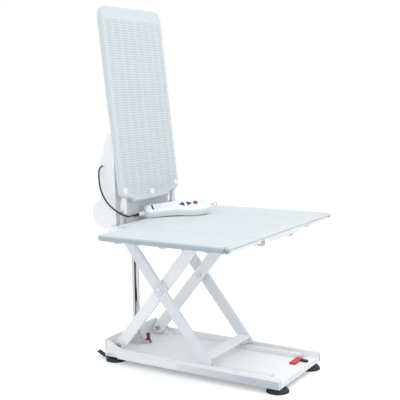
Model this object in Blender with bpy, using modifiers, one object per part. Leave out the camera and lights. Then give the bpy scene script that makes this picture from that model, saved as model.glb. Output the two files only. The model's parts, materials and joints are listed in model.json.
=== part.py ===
# Bath lift: a scissor lift with suction feet, a folding back panel, two side
# flaps and a hand control on a cord.  Metres, +Z up, the sitter faces -Y.
# "right" is the sitter's right, at -X.  The lift is modelled fully raised.

import bpy
import bmesh
from math import sin, cos, tan, asin, atan2, pi, radians, sqrt, hypot
from mathutils import Matrix, Vector

for old in list(bpy.data.objects):
    bpy.data.objects.remove(old, do_unlink=True)

# Gaps between pieces
GAP = 0.0003
PLAY = 0.0003
RUN = 0.0015

# Base tray
BASE_LENGTH = 0.626
BASE_WIDTH = 0.300
FLOOR_TOP = 0.0300
FLOOR_UNDER = 0.0265
RAIL_BOTTOM = 0.0175
RAIL_SHOULDER = 0.0430
RAIL_RIDGE = 0.0490
RAIL_WIDTH = 0.0120
RIDGE_INSET = 0.0035
WALL = 0.0030
REAR_TOP = 0.0770
REAR_WALL = 0.0035
FRONT_LIP_TOP = 0.0340

# Suction feet
FOOT_RADIUS = 0.0345
FOOT_SIDE_INSET = 0.0350
FOOT_FRONT_INSET = 0.0230
FOOT_REAR_INSET = 0.0160
TONGUE_REACH = 0.0730

# Scissor
UPPER_SHARE = 0.846
ROLLER_ROOM = 0.0568
RAISED = radians(51.0)
LOWERED = radians(3.0)
PIVOT_INSET = 0.0345
PIVOT_Z = 0.0540
LEG_HALF = 0.0180
LEG_EYE = 0.0120
LEG_TAPER = 0.1050
LEG_THICK = 0.0120
INNER_INSET = 0.0450
OUTER_INSET = 0.0250
BOSS_RADIUS = 0.0210
BOLT_RADIUS = 0.0050
PIN_RADIUS = 0.0060
BASE_ROLLER = 0.0108
SEAT_ROLLER = 0.0095
TRACK_ROOM = 0.0050
BUSH_RADIUS = 0.0075
BRACKET_RADIUS = 0.0165

# Seat and side flaps
PLATE_RISE = 0.0174
COVER_CROWN = 0.0090
PLATE_SKIN = 0.0030
PLATE_RIM = 0.0145
SEAT_LENGTH = 0.5300
SEAT_SETBACK = 0.0085
COVER_SETBACK = 0.0440
SEAT_HALF = 0.1870
FLAP_REACH = 0.1675
FLAP_SETBACK = 0.0940
FLAP_DEPTH = 0.0085
SEAM = 0.0005
SPLIT = 0.00015

# Back panel, drawn upright in its own frame and then leaned back
LEAN = radians(6.46)
BACK_SETBACK = 0.0350
BACK_RISE = 0.0395
BACK_INSET = 0.0220
BACK_TOP = 0.6485
BACK_LOW = 0.0305
BACK_STEP = 0.0425
BACK_FRONT = 0.0224
COVER_THICK = 0.0070
PANEL_BACK = 0.0030
ARM_INSET = 0.0470
ARM_HALF = 0.0080
ARM_EYE = 0.0075
HINGE_PIN = 0.0030

# Drive housing, lift tube and spindle
BULB_BEHIND = 0.0085
BULB_RISE = 0.0345
BULB_RADIUS = 0.0465
HOUSING_INSET = 0.0370
HOUSING_AHEAD = 0.0375
HOUSING_RISE = 0.2925
SHELL = 0.0030
TUBE_INSET = 0.0185
TUBE_RADIUS = 0.0120
TUBE_BORE = 0.0100
TUBE_SINK = 0.0045
TUBE_RISE = 0.0445
SPINDLE_RADIUS = 0.0045
SPINE_HALF = 0.0180
SPINE_AHEAD = 0.0150
SPINE_BEHIND = 0.0220

# Hand control, lying on the rear of the seat
HAND_X = -0.0220
HAND_TURN = radians(-39.0)
HAND_LENGTH = 0.2350
HAND_HEIGHT = 0.0300
HAND_SPLIT = 0.0145
HAND_ROLL = radians(30.0)
HAND_EDGE = 0.0080
BUTTON_TRAVEL = 0.0015
CORD_RADIUS = 0.0025

# Values that follow from the ones above
BASE_HALF = BASE_WIDTH / 2
BASE_END = BASE_LENGTH / 2
RAIL_INNER = BASE_HALF - RAIL_WIDTH
RAIL_STEP = BASE_HALF - RIDGE_INSET
FOOT_X = BASE_HALF - FOOT_SIDE_INSET
FOOT_FRONT_Y = FOOT_FRONT_INSET - BASE_END
FOOT_REAR_Y = BASE_END - FOOT_REAR_INSET
INNER_X = BASE_HALF - INNER_INSET
OUTER_X = BASE_HALF - OUTER_INSET
PIVOT_Y = BASE_END - PIVOT_INSET
LEG_LOWER = (PIVOT_Y + BASE_END - ROLLER_ROOM) / (2 * cos(LOWERED))
LEG_UPPER = LEG_LOWER * UPPER_SHARE
LEG_LENGTH = LEG_LOWER + LEG_UPPER
MID_Y = PIVOT_Y - LEG_LOWER * cos(RAISED)
MID_Z = PIVOT_Z + LEG_LOWER * sin(RAISED)
FRONT_Y = MID_Y - LEG_LOWER * cos(RAISED)
UPPER_Z = PIVOT_Z + LEG_LENGTH * sin(RAISED)
UPPER_FRONT_Y = PIVOT_Y - LEG_LENGTH * cos(RAISED)
UPPER_REAR_Y = MID_Y + LEG_UPPER * cos(RAISED)
DROP = LEG_LENGTH * (sin(RAISED) - sin(LOWERED))
LOW_UPPER_FRONT_Y = PIVOT_Y - LEG_LENGTH * cos(LOWERED)
LOW_UPPER_REAR_Y = PIVOT_Y - (LEG_LOWER - LEG_UPPER) * cos(LOWERED)
LOW_FRONT_Y = PIVOT_Y - 2 * LEG_LOWER * cos(LOWERED)
PLATE_TOP = UPPER_Z + PLATE_RISE
SEAT_TOP = PLATE_TOP + COVER_CROWN
COVER_BASE = PLATE_TOP + GAP
SEAT_REAR = PIVOT_Y - SEAT_SETBACK
SEAT_FRONT = SEAT_REAR - SEAT_LENGTH
COVER_REAR = SEAT_REAR - COVER_SETBACK
HINGE_X = SEAT_HALF + SEAM
FLAP_OUT = HINGE_X + FLAP_REACH
FLAP_REAR = SEAT_REAR - FLAP_SETBACK
FLAP_LOW = PLATE_TOP - FLAP_DEPTH
BACK_Y = SEAT_REAR - BACK_SETBACK
BACK_Z = PLATE_TOP + BACK_RISE
BACK_HALF = SEAT_HALF - BACK_INSET
ARM_X = SEAT_HALF - ARM_INSET
TUBE_Y = BASE_END - TUBE_INSET
TUBE_FOOT = FLOOR_TOP + TUBE_SINK
TUBE_TOP = PLATE_TOP + TUBE_RISE
BULB_Y = TUBE_Y + BULB_BEHIND
BULB_Z = PLATE_TOP + BULB_RISE
HOUSING_HALF = SEAT_HALF - HOUSING_INSET
HOUSING_FRONT = TUBE_Y - HOUSING_AHEAD
HOUSING_TOP = PLATE_TOP + HOUSING_RISE
SPINE_FRONT = TUBE_Y - SPINE_AHEAD
SPINE_REAR = TUBE_Y + SPINE_BEHIND
HAND_Y = BACK_Y + 0.0050
REAR_MOST = FOOT_REAR_Y + TONGUE_REACH
FRONT_MOST = FOOT_FRONT_Y - FOOT_RADIUS
SHIFT_Y = -(REAR_MOST + FRONT_MOST) / 2
SIDES = (("right", -1), ("left", 1))

parts = bpy.data.collections.new("bath_lift")
cutters = bpy.data.collections.new("cutters")
bpy.context.scene.collection.children.link(parts)
bpy.context.scene.collection.children.link(cutters)


def material(name, colour, roughness, metallic=0.0):
    mat = bpy.data.materials.new(name)
    mat.use_nodes = True
    shader = mat.node_tree.nodes["Principled BSDF"]
    shader.inputs["Base Color"].default_value = (*colour, 1.0)
    shader.inputs["Roughness"].default_value = roughness
    shader.inputs["Metallic"].default_value = metallic
    mat.diffuse_color = (*colour, 1.0)
    return mat


WHITE = material("white_plastic", (0.88, 0.89, 0.90), 0.45)
COATED = material("coated_steel", (0.80, 0.82, 0.84), 0.35)
GREY = material("grey_plastic", (0.55, 0.57, 0.60), 0.5)
FABRIC = material("cover_fabric", (0.68, 0.74, 0.78), 0.9)
RUBBER = material("black_rubber", (0.02, 0.02, 0.022), 0.6)
CHROME = material("bright_steel", (0.72, 0.73, 0.75), 0.15, 1.0)
STEEL = material("plain_steel", (0.55, 0.56, 0.58), 0.35, 1.0)
RED = material("red_plastic", (0.55, 0.01, 0.04), 0.4)
BLUE = material("blue_button", (0.03, 0.03, 0.35), 0.45)
STOP = material("stop_button", (0.35, 0.03, 0.06), 0.45)
NYLON = material("nylon", (0.80, 0.79, 0.74), 0.5)
BATTERY = material("battery_sleeve", (0.10, 0.16, 0.30), 0.5)

# Bodies: an empty on each joint axis, nested the way the lift moves
empties = {}
origins = {}


def body(name, origin, parent=None):
    empty = bpy.data.objects.new("pivot_" + name, None)
    empty.empty_display_size = 0.03
    parts.objects.link(empty)
    empties[name] = empty
    origins[name] = Vector(origin)
    empty.location = Vector(origin)
    if parent:
        empty.parent = empties[parent]
        empty.location = Vector(origin) - origins[parent]


def adopt(obj, name, mat):
    parts.objects.link(obj)
    obj.parent = empties[name]
    obj.location = obj.location - origins[name]
    obj.data.materials.append(mat)
    return obj


def shape(obj, tool, operation):
    cutters.objects.link(tool)
    tool.parent = empties["base"]
    tool.hide_render = True
    tool.display_type = "WIRE"
    step = obj.modifiers.new(operation.lower(), "BOOLEAN")
    step.operation = operation
    step.solver = "EXACT"
    step.object = tool
    return obj


def join(obj, tool):
    return shape(obj, tool, "UNION")


def cut(obj, tool):
    return shape(obj, tool, "DIFFERENCE")


def settle(obj):
    # work the steps out in the piece's own square frame, before it is leaned or turned
    tools = [step.object for step in obj.modifiers if step.type == "BOOLEAN"]
    for tool in tools:
        tool.parent = None
    bpy.context.scene.collection.objects.link(obj)
    bpy.context.view_layer.update()
    graph = bpy.context.evaluated_depsgraph_get()
    obj.data = bpy.data.meshes.new_from_object(obj.evaluated_get(graph))
    obj.modifiers.clear()
    bpy.context.scene.collection.objects.unlink(obj)
    for tool in tools:
        bpy.data.objects.remove(tool, do_unlink=True)
    return obj


def bevel(obj, width, segments=2, angle=40):
    step = obj.modifiers.new("bevel", "BEVEL")
    step.width = width
    step.segments = segments
    step.limit_method = "ANGLE"
    step.angle_limit = radians(angle)
    return obj


def from_bmesh(name, bm, location=(0, 0, 0)):
    mesh = bpy.data.meshes.new(name)
    bm.to_mesh(mesh)
    bm.free()
    obj = bpy.data.objects.new(name, mesh)
    obj.location = location
    return obj


def span(side, a, b):
    return (min(side * a, side * b), max(side * a, side * b))


def box(name, x, y, z):
    bm = bmesh.new()
    bmesh.ops.create_cube(bm, size=1.0)
    bmesh.ops.scale(bm, vec=(x[1] - x[0], y[1] - y[0], z[1] - z[0]), verts=bm.verts)
    return from_bmesh(name, bm, ((x[0] + x[1]) / 2, (y[0] + y[1]) / 2, (z[0] + z[1]) / 2))


ALONG = {
    "X": Matrix.Rotation(pi / 2, 4, "Y"),
    "Y": Matrix.Rotation(-pi / 2, 4, "X"),
    "Z": Matrix.Identity(4),
}


def on_axis(axis, across, along):
    if axis == "X":
        return Vector((along, across[0], across[1]))
    if axis == "Y":
        return Vector((across[0], along, across[1]))
    return Vector((across[0], across[1], along))


def rod(name, axis, reach, across, radius, sides=24):
    bm = bmesh.new()
    bmesh.ops.create_cone(
        bm, cap_ends=True, segments=sides, radius1=radius, radius2=radius, depth=reach[1] - reach[0])
    bmesh.ops.transform(bm, matrix=ALONG[axis], verts=bm.verts)
    return from_bmesh(name, bm, on_axis(axis, across, (reach[0] + reach[1]) / 2))


def turned(name, axis, profile, across, steps=24, ring=False, side=1):
    # profile holds (radius, place along the axis), from the far end back on the outside
    points = list(profile) if side > 0 else [(r, -t) for r, t in reversed(profile)]
    bm = bmesh.new()
    verts = [bm.verts.new((r, 0.0, t)) for r, t in points]
    for a, b in zip(verts, verts[1:]):
        bm.edges.new((a, b))
    if ring:
        bm.edges.new((verts[-1], verts[0]))
    obj = from_bmesh(name, bm, on_axis(axis, across, 0.0))
    obj.rotation_euler = ALONG[axis].to_euler()
    step = obj.modifiers.new("turn", "SCREW")
    step.axis = "Z"
    step.angle = 2 * pi
    step.steps = steps
    step.render_steps = steps
    step.use_merge_vertices = True
    step.merge_threshold = 0.00005
    return obj


def tube(name, axis, reach, across, outer, inner, steps=24):
    low, high = reach
    profile = [(outer, high), (outer, low), (inner, low), (inner, high)]
    return turned(name, axis, profile, across, steps, ring=True)


def arc(centre, radius, start, end, count):
    points = []
    for i in range(count + 1):
        angle = radians(start + (end - start) * i / count)
        points.append((centre[0] + radius * cos(angle), centre[1] + radius * sin(angle)))
    return points


def circle(centre, radius, count=20):
    return arc(centre, radius, 0, 360, count)[:-1]


def rounded(x, y, radius, count=5):
    points = []
    points += arc((x[1] - radius, y[0] + radius), radius, -90, 0, count)
    points += arc((x[1] - radius, y[1] - radius), radius, 0, 90, count)
    points += arc((x[0] + radius, y[1] - radius), radius, 90, 180, count)
    points += arc((x[0] + radius, y[0] + radius), radius, 180, 270, count)
    return points


FLAT = {
    "X": Matrix(((0, 0, 1, 0), (1, 0, 0, 0), (0, 1, 0, 0), (0, 0, 0, 1))),
    "Y": Matrix(((1, 0, 0, 0), (0, 0, -1, 0), (0, 1, 0, 0), (0, 0, 0, 1))),
    "Z": Matrix.Identity(4),
}


def solid_from_curve(name, curve):
    source = bpy.data.objects.new(name + "_curve", curve)
    bpy.context.scene.collection.objects.link(source)
    graph = bpy.context.evaluated_depsgraph_get()
    mesh = bpy.data.meshes.new_from_object(source.evaluated_get(graph))
    bpy.data.objects.remove(source, do_unlink=True)
    bm = bmesh.new()
    bm.from_mesh(mesh)
    bmesh.ops.remove_doubles(bm, verts=bm.verts, dist=0.00001)
    bmesh.ops.recalc_face_normals(bm, faces=bm.faces)
    bpy.data.meshes.remove(mesh)
    return bm


def slab(name, axis, outline, reach, holes=()):
    curve = bpy.data.curves.new(name, "CURVE")
    curve.dimensions = "2D"
    curve.fill_mode = "BOTH"
    curve.extrude = (reach[1] - reach[0]) / 2
    for loop in (outline, *holes):
        spline = curve.splines.new("POLY")
        spline.points.add(len(loop) - 1)
        for point, (u, v) in zip(spline.points, loop):
            point.co = (u, v, 0.0, 1.0)
        spline.use_cyclic_u = True
    bm = solid_from_curve(name, curve)
    if not holes:
        bmesh.ops.dissolve_limit(bm, angle_limit=radians(0.2), verts=bm.verts, edges=bm.edges)
    bmesh.ops.transform(bm, matrix=FLAT[axis], verts=bm.verts)
    middle = (reach[0] + reach[1]) / 2
    return from_bmesh(name, bm, on_axis(axis, (0.0, 0.0), middle))


def smooth_path(knots, per_span):
    points = []
    padded = [2 * knots[0] - knots[1], *knots, 2 * knots[-1] - knots[-2]]
    for i in range(1, len(padded) - 2):
        a, b, c, d = padded[i - 1:i + 3]
        for k in range(per_span):
            t = k / per_span
            points.append(0.5 * (2 * b + (c - a) * t + (2 * a - 5 * b + 4 * c - d) * t ** 2
                                 + (3 * b - a - 3 * c + d) * t ** 3))
    points.append(knots[-1])
    return points


def wire(name, points, radius, resolution=2, taper=None):
    curve = bpy.data.curves.new(name, "CURVE")
    curve.dimensions = "3D"
    curve.bevel_depth = radius
    curve.bevel_resolution = resolution
    curve.use_fill_caps = True
    spline = curve.splines.new("POLY")
    spline.points.add(len(points) - 1)
    for i, (point, place) in enumerate(zip(spline.points, points)):
        point.co = (*place, 1.0)
        if taper:
            point.radius = taper[0] + (taper[1] - taper[0]) * i / (len(points) - 1)
    return from_bmesh(name, solid_from_curve(name, curve))


def pad(name, x, y, low, edge, top, radius, inset, cells):
    # a soft sheet: crowned top, rounded corners, sides drawn in towards the bottom
    half = Vector(((x[1] - x[0]) / 2, (y[1] - y[0]) / 2, 0.0))
    centre = Vector(((x[0] + x[1]) / 2, (y[0] + y[1]) / 2, 0.0))
    bm = bmesh.new()
    bmesh.ops.create_grid(bm, x_segments=cells[0], y_segments=cells[1], size=1.0)
    for vert in bm.verts:
        u, v = vert.co.x, vert.co.y
        u = (abs(u) ** 0.8) * (1 if u > 0 else -1)
        v = (abs(v) ** 0.8) * (1 if v > 0 else -1)
        px, py = u * half.x, v * half.y
        over_x, over_y = abs(px) - (half.x - radius), abs(py) - (half.y - radius)
        if over_x > 0 and over_y > 0:
            shrink = max(over_x, over_y) / hypot(over_x, over_y)
            px = (half.x - radius + over_x * shrink) * (1 if px > 0 else -1)
            py = (half.y - radius + over_y * shrink) * (1 if py > 0 else -1)
        swell = (1 - u ** 8) * (1 - v ** 8)
        vert.co = (px, py, edge + (top - edge) * swell)
    rim = [edge_ for edge_ in bm.edges if edge_.is_boundary]
    made = bmesh.ops.extrude_edge_only(bm, edges=rim)["geom"]
    lower = [item for item in made if isinstance(item, bmesh.types.BMVert)]
    for vert in lower:
        vert.co.x -= inset * (1 if vert.co.x > 0 else -1) * min(1.0, abs(vert.co.x) / half.x)
        vert.co.y -= inset * (1 if vert.co.y > 0 else -1) * min(1.0, abs(vert.co.y) / half.y)
        vert.co.z = low
    bmesh.ops.holes_fill(bm, edges=[item for item in bm.edges if item.is_boundary])
    bmesh.ops.recalc_face_normals(bm, faces=bm.faces)
    return from_bmesh(name, bm, centre)


# Bodies
body("root", (0, 0, 0))
empties["root"].location = (0, SHIFT_Y, 0)
body("base", (0, 0, 0), "root")
body("inner_legs", (0, PIVOT_Y, PIVOT_Z), "base")
body("outer_legs", (0, MID_Y, MID_Z), "inner_legs")
body("slide_bushes", (0, UPPER_REAR_Y, UPPER_Z), "outer_legs")
body("seat", (0, 0, PLATE_TOP), "slide_bushes")
body("back", (0, BACK_Y, BACK_Z), "seat")
for side, s in SIDES:
    body("seat_roller_" + side, (s * (INNER_X - 0.0070), UPPER_FRONT_Y, UPPER_Z), "inner_legs")
    body("base_roller_" + side, (s * (INNER_X + OUTER_X) / 2, FRONT_Y, PIVOT_Z), "outer_legs")
    body("flap_" + side, (s * HINGE_X, 0, SEAT_TOP), "seat")

# Base tray: one extruded section, with rear wall, gussets and leg brackets joined on
slot_in = RAIL_INNER + WALL
slot_out = BASE_HALF - WALL
slot_top = RAIL_SHOULDER - WALL
half_section = [
    (RAIL_INNER, FLOOR_UNDER), (RAIL_INNER, RAIL_BOTTOM), (slot_in, RAIL_BOTTOM), (slot_in, slot_top),
    (slot_out, slot_top), (slot_out, RAIL_BOTTOM), (BASE_HALF, RAIL_BOTTOM), (BASE_HALF, RAIL_SHOULDER),
    (RAIL_STEP, RAIL_SHOULDER), (RAIL_STEP, RAIL_RIDGE), (RAIL_INNER, RAIL_RIDGE), (RAIL_INNER, FLOOR_TOP)]
section = half_section + [(-u, v) for u, v in reversed(half_section)]
base_tray = slab("base_tray", "Y", section, (-BASE_END, BASE_END))
rear_wall = box("rear_wall", (-BASE_HALF + 0.0005, BASE_HALF - 0.0005),
                (BASE_END - 0.0008, BASE_END - 0.0008 + REAR_WALL), (RAIL_BOTTOM + 0.001, REAR_TOP))
join(base_tray, rear_wall)
front_lip = box("front_lip", (-RAIL_INNER - 0.001, RAIL_INNER + 0.001),
                (-BASE_END + 0.0004, -BASE_END + 0.0040), (RAIL_BOTTOM + 0.001, FRONT_LIP_TOP))
join(base_tray, front_lip)
bracket_low = FLOOR_TOP - 0.001
bracket = [(PIVOT_Y - 0.050, bracket_low), (BASE_END + 0.0005, bracket_low), (BASE_END + 0.0005, 0.046)]
bracket += arc((PIVOT_Y, PIVOT_Z), BRACKET_RADIUS, -10, 190, 14)
bracket += [(PIVOT_Y - 0.032, 0.0430), (PIVOT_Y - 0.050, 0.0370)]
gusset = [
    (BASE_END - 0.068, RAIL_RIDGE - 0.002), (BASE_END + 0.0010, RAIL_RIDGE - 0.002),
    (BASE_END + 0.0010, REAR_TOP - 0.0008), (BASE_END - 0.016, 0.0690), (BASE_END - 0.040, 0.0560),
    (BASE_END - 0.058, 0.0500), (BASE_END - 0.068, 0.0480)]
BRACKET_X = INNER_X + LEG_THICK + RUN
for side, s in SIDES:
    join(base_tray, slab("bracket_" + side, "X", bracket, span(s, BRACKET_X, BRACKET_X + 0.005)))
    join(base_tray, slab("gusset_" + side, "X", gusset, span(s, RAIL_INNER + 0.0006, RAIL_STEP - 0.0006)))
for side, s in SIDES:
    cut(base_tray, rod("bolt_hole_" + side, "X", span(s, BRACKET_X - 0.006, BRACKET_X + 0.011), (PIVOT_Y, PIVOT_Z),
                       BOLT_RADIUS + PLAY))
    cut(base_tray, rod("foot_arch_" + side, "X", span(s, (slot_in + slot_out) / 2, BASE_HALF + 0.004),
                       (FOOT_REAR_Y - 0.006, 0.0040), 0.0290, 32))
adopt(base_tray, "base", WHITE)

# Guide rails the base rollers run on, with a stop at each end
rail_top = PIVOT_Z - BASE_ROLLER - GAP
rail_front = LOW_FRONT_Y - BASE_ROLLER - 0.004
rail_rear = FRONT_Y + BASE_ROLLER + 0.014
rail_side = [
    (rail_front - 0.004, FLOOR_TOP + GAP), (rail_rear + 0.004, FLOOR_TOP + GAP),
    (rail_rear + 0.004, rail_top + 0.006), (rail_rear, rail_top + 0.006), (rail_rear, rail_top),
    (rail_front, rail_top), (rail_front, rail_top + 0.006), (rail_front - 0.004, rail_top + 0.006)]
for side, s in SIDES:
    guide = slab("guide_rail_" + side, "X", rail_side, span(s, INNER_X - 0.0015, BRACKET_X + 0.005))
    adopt(guide, "base", GREY)

# Suction feet, hollow underneath; the rear pair has a pull tongue
foot_top = FLOOR_UNDER - GAP
foot_profile = [
    (0.0, foot_top), (0.0110, foot_top), (0.0110, 0.0168), (0.0190, 0.0156), (0.0270, 0.0120),
    (0.0325, 0.0060), (FOOT_RADIUS, 0.0014), (FOOT_RADIUS, 0.0), (0.0320, 0.0), (0.0220, 0.0058),
    (0.0, 0.0090)]
tongue_start = FOOT_REAR_Y + FOOT_RADIUS - 0.0070
tongue = [
    (tongue_start, 0.0032), (REAR_MOST - 0.026, 0.0060), (REAR_MOST - 0.013, 0.0115), (REAR_MOST, 0.0185),
    (REAR_MOST - 0.0015, 0.0212), (REAR_MOST - 0.0150, 0.0147), (REAR_MOST - 0.0275, 0.0095),
    (tongue_start, 0.0070)]
for side, s in SIDES:
    front_foot = turned("suction_foot_front_" + side, "Z", foot_profile, (s * FOOT_X, FOOT_FRONT_Y), 32)
    adopt(front_foot, "base", RUBBER)
    rear_foot = turned("suction_foot_rear_" + side, "Z", foot_profile, (s * FOOT_X, FOOT_REAR_Y), 32)
    join(rear_foot, slab("tongue_" + side, "X", tongue, span(s, FOOT_X - 0.008, FOOT_X + 0.008)))
    adopt(rear_foot, "base", RUBBER)

# Bolts the inner legs swing on
for side, s in SIDES:
    head, nut = BRACKET_X + 0.005 + GAP, INNER_X - GAP
    bolt = [
        (0.0, head + 0.0050), (0.0070, head + 0.0050), (0.0085, head + 0.0030), (0.0085, head),
        (BOLT_RADIUS, head), (BOLT_RADIUS, nut), (0.0080, nut), (0.0080, nut - 0.0065), (0.0, nut - 0.0065)]
    pivot_bolt = turned("base_pivot_bolt_" + side, "X", bolt, (PIVOT_Y, PIVOT_Z), 24, side=s)
    adopt(pivot_bolt, "base", STEEL)

# Shoe and clamp that hold the foot of the lift tube, with the ears of the rear latch
LATCH_X = (0.0, 0.012)
LATCH_Y = TUBE_Y - 0.0430
LATCH_Z = FLOOR_TOP + 0.0063
shoe_low = FLOOR_TOP + GAP
shoe_front = TUBE_Y - TUBE_RADIUS - 0.016
rod_shoe = box("rod_shoe", (-0.022, 0.022), (shoe_front, BASE_END - 0.0020), (shoe_low, FLOOR_TOP + 0.0120))
ears = box("latch_ears", (LATCH_X[0] - 0.0055, LATCH_X[1] + 0.0055), (LATCH_Y - 0.0075, shoe_front + 0.003),
           (shoe_low + 0.0002, FLOOR_TOP + 0.0115))
join(rod_shoe, ears)
cut(rod_shoe, box("latch_slot", (LATCH_X[0] - 0.0005, LATCH_X[1] + 0.0005),
                  (LATCH_Y - 0.010, shoe_front - 0.0012), (shoe_low - 0.002, FLOOR_TOP + 0.020)))
join(rod_shoe, rod("tube_collar", "Z", (FLOOR_TOP + 0.010, FLOOR_TOP + 0.027), (0.0, TUBE_Y), TUBE_RADIUS + 0.0045, 28))
cut(rod_shoe, rod("tube_seat", "Z", (TUBE_FOOT - GAP, FLOOR_TOP + 0.040), (0.0, TUBE_Y), TUBE_RADIUS + PLAY, 28))
cut(rod_shoe, rod("latch_axle_hole", "X", (LATCH_X[0] - 0.008, LATCH_X[1] + 0.008), (LATCH_Y, LATCH_Z),
                  0.0020 + PLAY, 16))
adopt(rod_shoe, "base", GREY)
latch_axle = rod("latch_axle", "X", (LATCH_X[0] - 0.0055, LATCH_X[1] + 0.0055), (LATCH_Y, LATCH_Z), 0.0020, 16)
adopt(latch_axle, "base", STEEL)

# Rear latch: a red lever, waisted, round at its axle
body("rear_latch", (sum(LATCH_X) / 2, LATCH_Y, LATCH_Z), "base")
latch = arc((LATCH_Y, LATCH_Z), 0.0055, 180, 360, 10)
LATCH_SIDE = ((0.0032, 0.0107), (0.0030, 0.0207), (0.0055, 0.0252), (0.0055, 0.0287))
latch += [(LATCH_Y + u, LATCH_Z + v) for u, v in LATCH_SIDE]
latch += [(LATCH_Y - min(u, 0.0045), LATCH_Z + v) for u, v in reversed(LATCH_SIDE)]
rear_latch = slab("rear_latch", "X", latch, LATCH_X, [circle((LATCH_Y, LATCH_Z), 0.0020 + PLAY, 16)])
adopt(bevel(rear_latch, 0.0006, 1), "rear_latch", RED)

# Front slider, red, with a black thumb pad that moves with it
SLIDER_X = (INNER_X - 0.065, INNER_X - 0.005)
SLIDER_Y = (0.0380 - BASE_END, 0.0590 - BASE_END)
body("front_slider", (sum(SLIDER_X) / 2, sum(SLIDER_Y) / 2, FLOOR_TOP + GAP), "base")
slider = box("front_slider", SLIDER_X, SLIDER_Y, (FLOOR_TOP + GAP, FLOOR_TOP + 0.0065))
adopt(bevel(slider, 0.0018, 2), "front_slider", RED)
thumb = rounded((SLIDER_X[1] - 0.0230, SLIDER_X[1] - 0.0070), (SLIDER_Y[0] - GAP - 0.0230, SLIDER_Y[0] - GAP), 0.0075, 6)
thumb_pad = slab("slider_thumb_pad", "Z", thumb, (FLOOR_TOP + GAP, FLOOR_TOP + 0.0055))
adopt(bevel(thumb_pad, 0.0012, 2), "front_slider", RUBBER)

# Lift tube standing in the shoe, with the spindle nut on its top
lift_tube = tube("lift_tube", "Z", (TUBE_FOOT, TUBE_TOP), (0.0, TUBE_Y), TUBE_RADIUS, TUBE_BORE, 28)
adopt(lift_tube, "base", CHROME)
NUT_TOP = TUBE_TOP + 0.0120
SEAT_STRAY = 0.0033
spindle_nut = tube("spindle_nut", "Z", (TUBE_TOP + GAP, NUT_TOP), (0.0, TUBE_Y), TUBE_RADIUS,
                   SPINDLE_RADIUS + SEAT_STRAY / 2 + 0.0008, 28)
adopt(spindle_nut, "base", NYLON)


# Scissor legs
def leg_outline(foot, heading):
    along = Vector((cos(heading), sin(heading)))
    across = Vector((-along.y, along.x))
    flat = arc((0.0, 0.0), LEG_HALF, 90, 270, 14)
    flat += [(LEG_LENGTH - LEG_TAPER, -LEG_HALF)]
    flat += arc((LEG_LENGTH, 0.0), LEG_EYE, -87, 87, 12)
    flat += [(LEG_LENGTH - LEG_TAPER, LEG_HALF)]
    placed = [Vector(foot) + along * u + across * v for u, v in flat]
    return [(p.x, p.y) for p in placed]


inner_outline = leg_outline((PIVOT_Y, PIVOT_Z), pi - RAISED)
outer_outline = leg_outline((FRONT_Y, PIVOT_Z), RAISED)
MID = (MID_Y, MID_Z)
UPPER_FRONT = (UPPER_FRONT_Y, UPPER_Z)
UPPER_REAR = (UPPER_REAR_Y, UPPER_Z)
LOWER_FRONT = (FRONT_Y, PIVOT_Z)
SLOT_IN = OUTER_X + LEG_THICK + 0.0007
SLOT_OUT = SLOT_IN + 0.0083
for side, s in SIDES:
    holes = [
        circle((PIVOT_Y, PIVOT_Z), BOLT_RADIUS + PLAY), circle(MID, PIN_RADIUS + PLAY),
        circle(UPPER_FRONT, PIN_RADIUS + PLAY)]
    inner_leg = slab("inner_leg_" + side, "X", inner_outline, span(s, INNER_X, INNER_X + LEG_THICK), holes)
    adopt(bevel(inner_leg, 0.0012, 1), "inner_legs", COATED)

    outer_leg = slab("outer_leg_" + side, "X", outer_outline, span(s, OUTER_X, OUTER_X + LEG_THICK))
    bevel(outer_leg, 0.0012, 1)
    boss = span(s, INNER_X + LEG_THICK + GAP, OUTER_X + LEG_THICK + 0.0010)
    join(outer_leg, rod("mid_boss_" + side, "X", boss, MID, BOSS_RADIUS, 32))
    join(outer_leg, rod("roller_stub_" + side, "X", span(s, INNER_X, OUTER_X + 0.004), LOWER_FRONT, BOLT_RADIUS))
    join(outer_leg, rod("roller_cap_" + side, "X", span(s, INNER_X - 0.0028, INNER_X + 0.0004), LOWER_FRONT, 0.0072))
    join(outer_leg, rod("bush_stub_" + side, "X", span(s, OUTER_X + 0.006, SLOT_OUT + 0.0008), UPPER_REAR, BOLT_RADIUS))
    join(outer_leg, rod("bush_cap_" + side, "X", span(s, SLOT_OUT + 0.0006, SLOT_OUT + 0.0032), UPPER_REAR, 0.0095))
    cut(outer_leg, rod("mid_hole_" + side, "X", span(s, INNER_X + 0.005, OUTER_X + 0.020), MID, PIN_RADIUS + PLAY, 20))
    adopt(outer_leg, "outer_legs", COATED)

    cap_out, cap_in = OUTER_X + LEG_THICK + 0.0010 + GAP, INNER_X - GAP
    pin = [
        (0.0, cap_out + 0.0028), (0.0085, cap_out + 0.0028), (0.0100, cap_out + 0.0016), (0.0100, cap_out),
        (PIN_RADIUS, cap_out), (PIN_RADIUS, cap_in), (0.0100, cap_in), (0.0100, cap_in - 0.0028),
        (0.0, cap_in - 0.0028)]
    adopt(turned("mid_pivot_" + side, "X", pin, MID, 24, side=s), "outer_legs", COATED)

    roller = tube("base_roller_" + side, "X", span(s, INNER_X + 0.0008, OUTER_X - 0.0008), LOWER_FRONT,
                  BASE_ROLLER, BOLT_RADIUS + PLAY, 28)
    adopt(roller, "base_roller_" + side, NYLON)
    seat_roller = tube("seat_roller_" + side, "X", span(s, INNER_X - 0.0130, INNER_X - 0.0012), UPPER_FRONT,
                       SEAT_ROLLER, PIN_RADIUS + PLAY, 28)
    adopt(seat_roller, "seat_roller_" + side, NYLON)
    bush = tube("slide_bush_" + side, "X", span(s, SLOT_IN + 0.0002, SLOT_OUT - 0.0002), UPPER_REAR,
                BUSH_RADIUS, BOLT_RADIUS + PLAY, 24)
    adopt(bush, "slide_bushes", NYLON)

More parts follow.
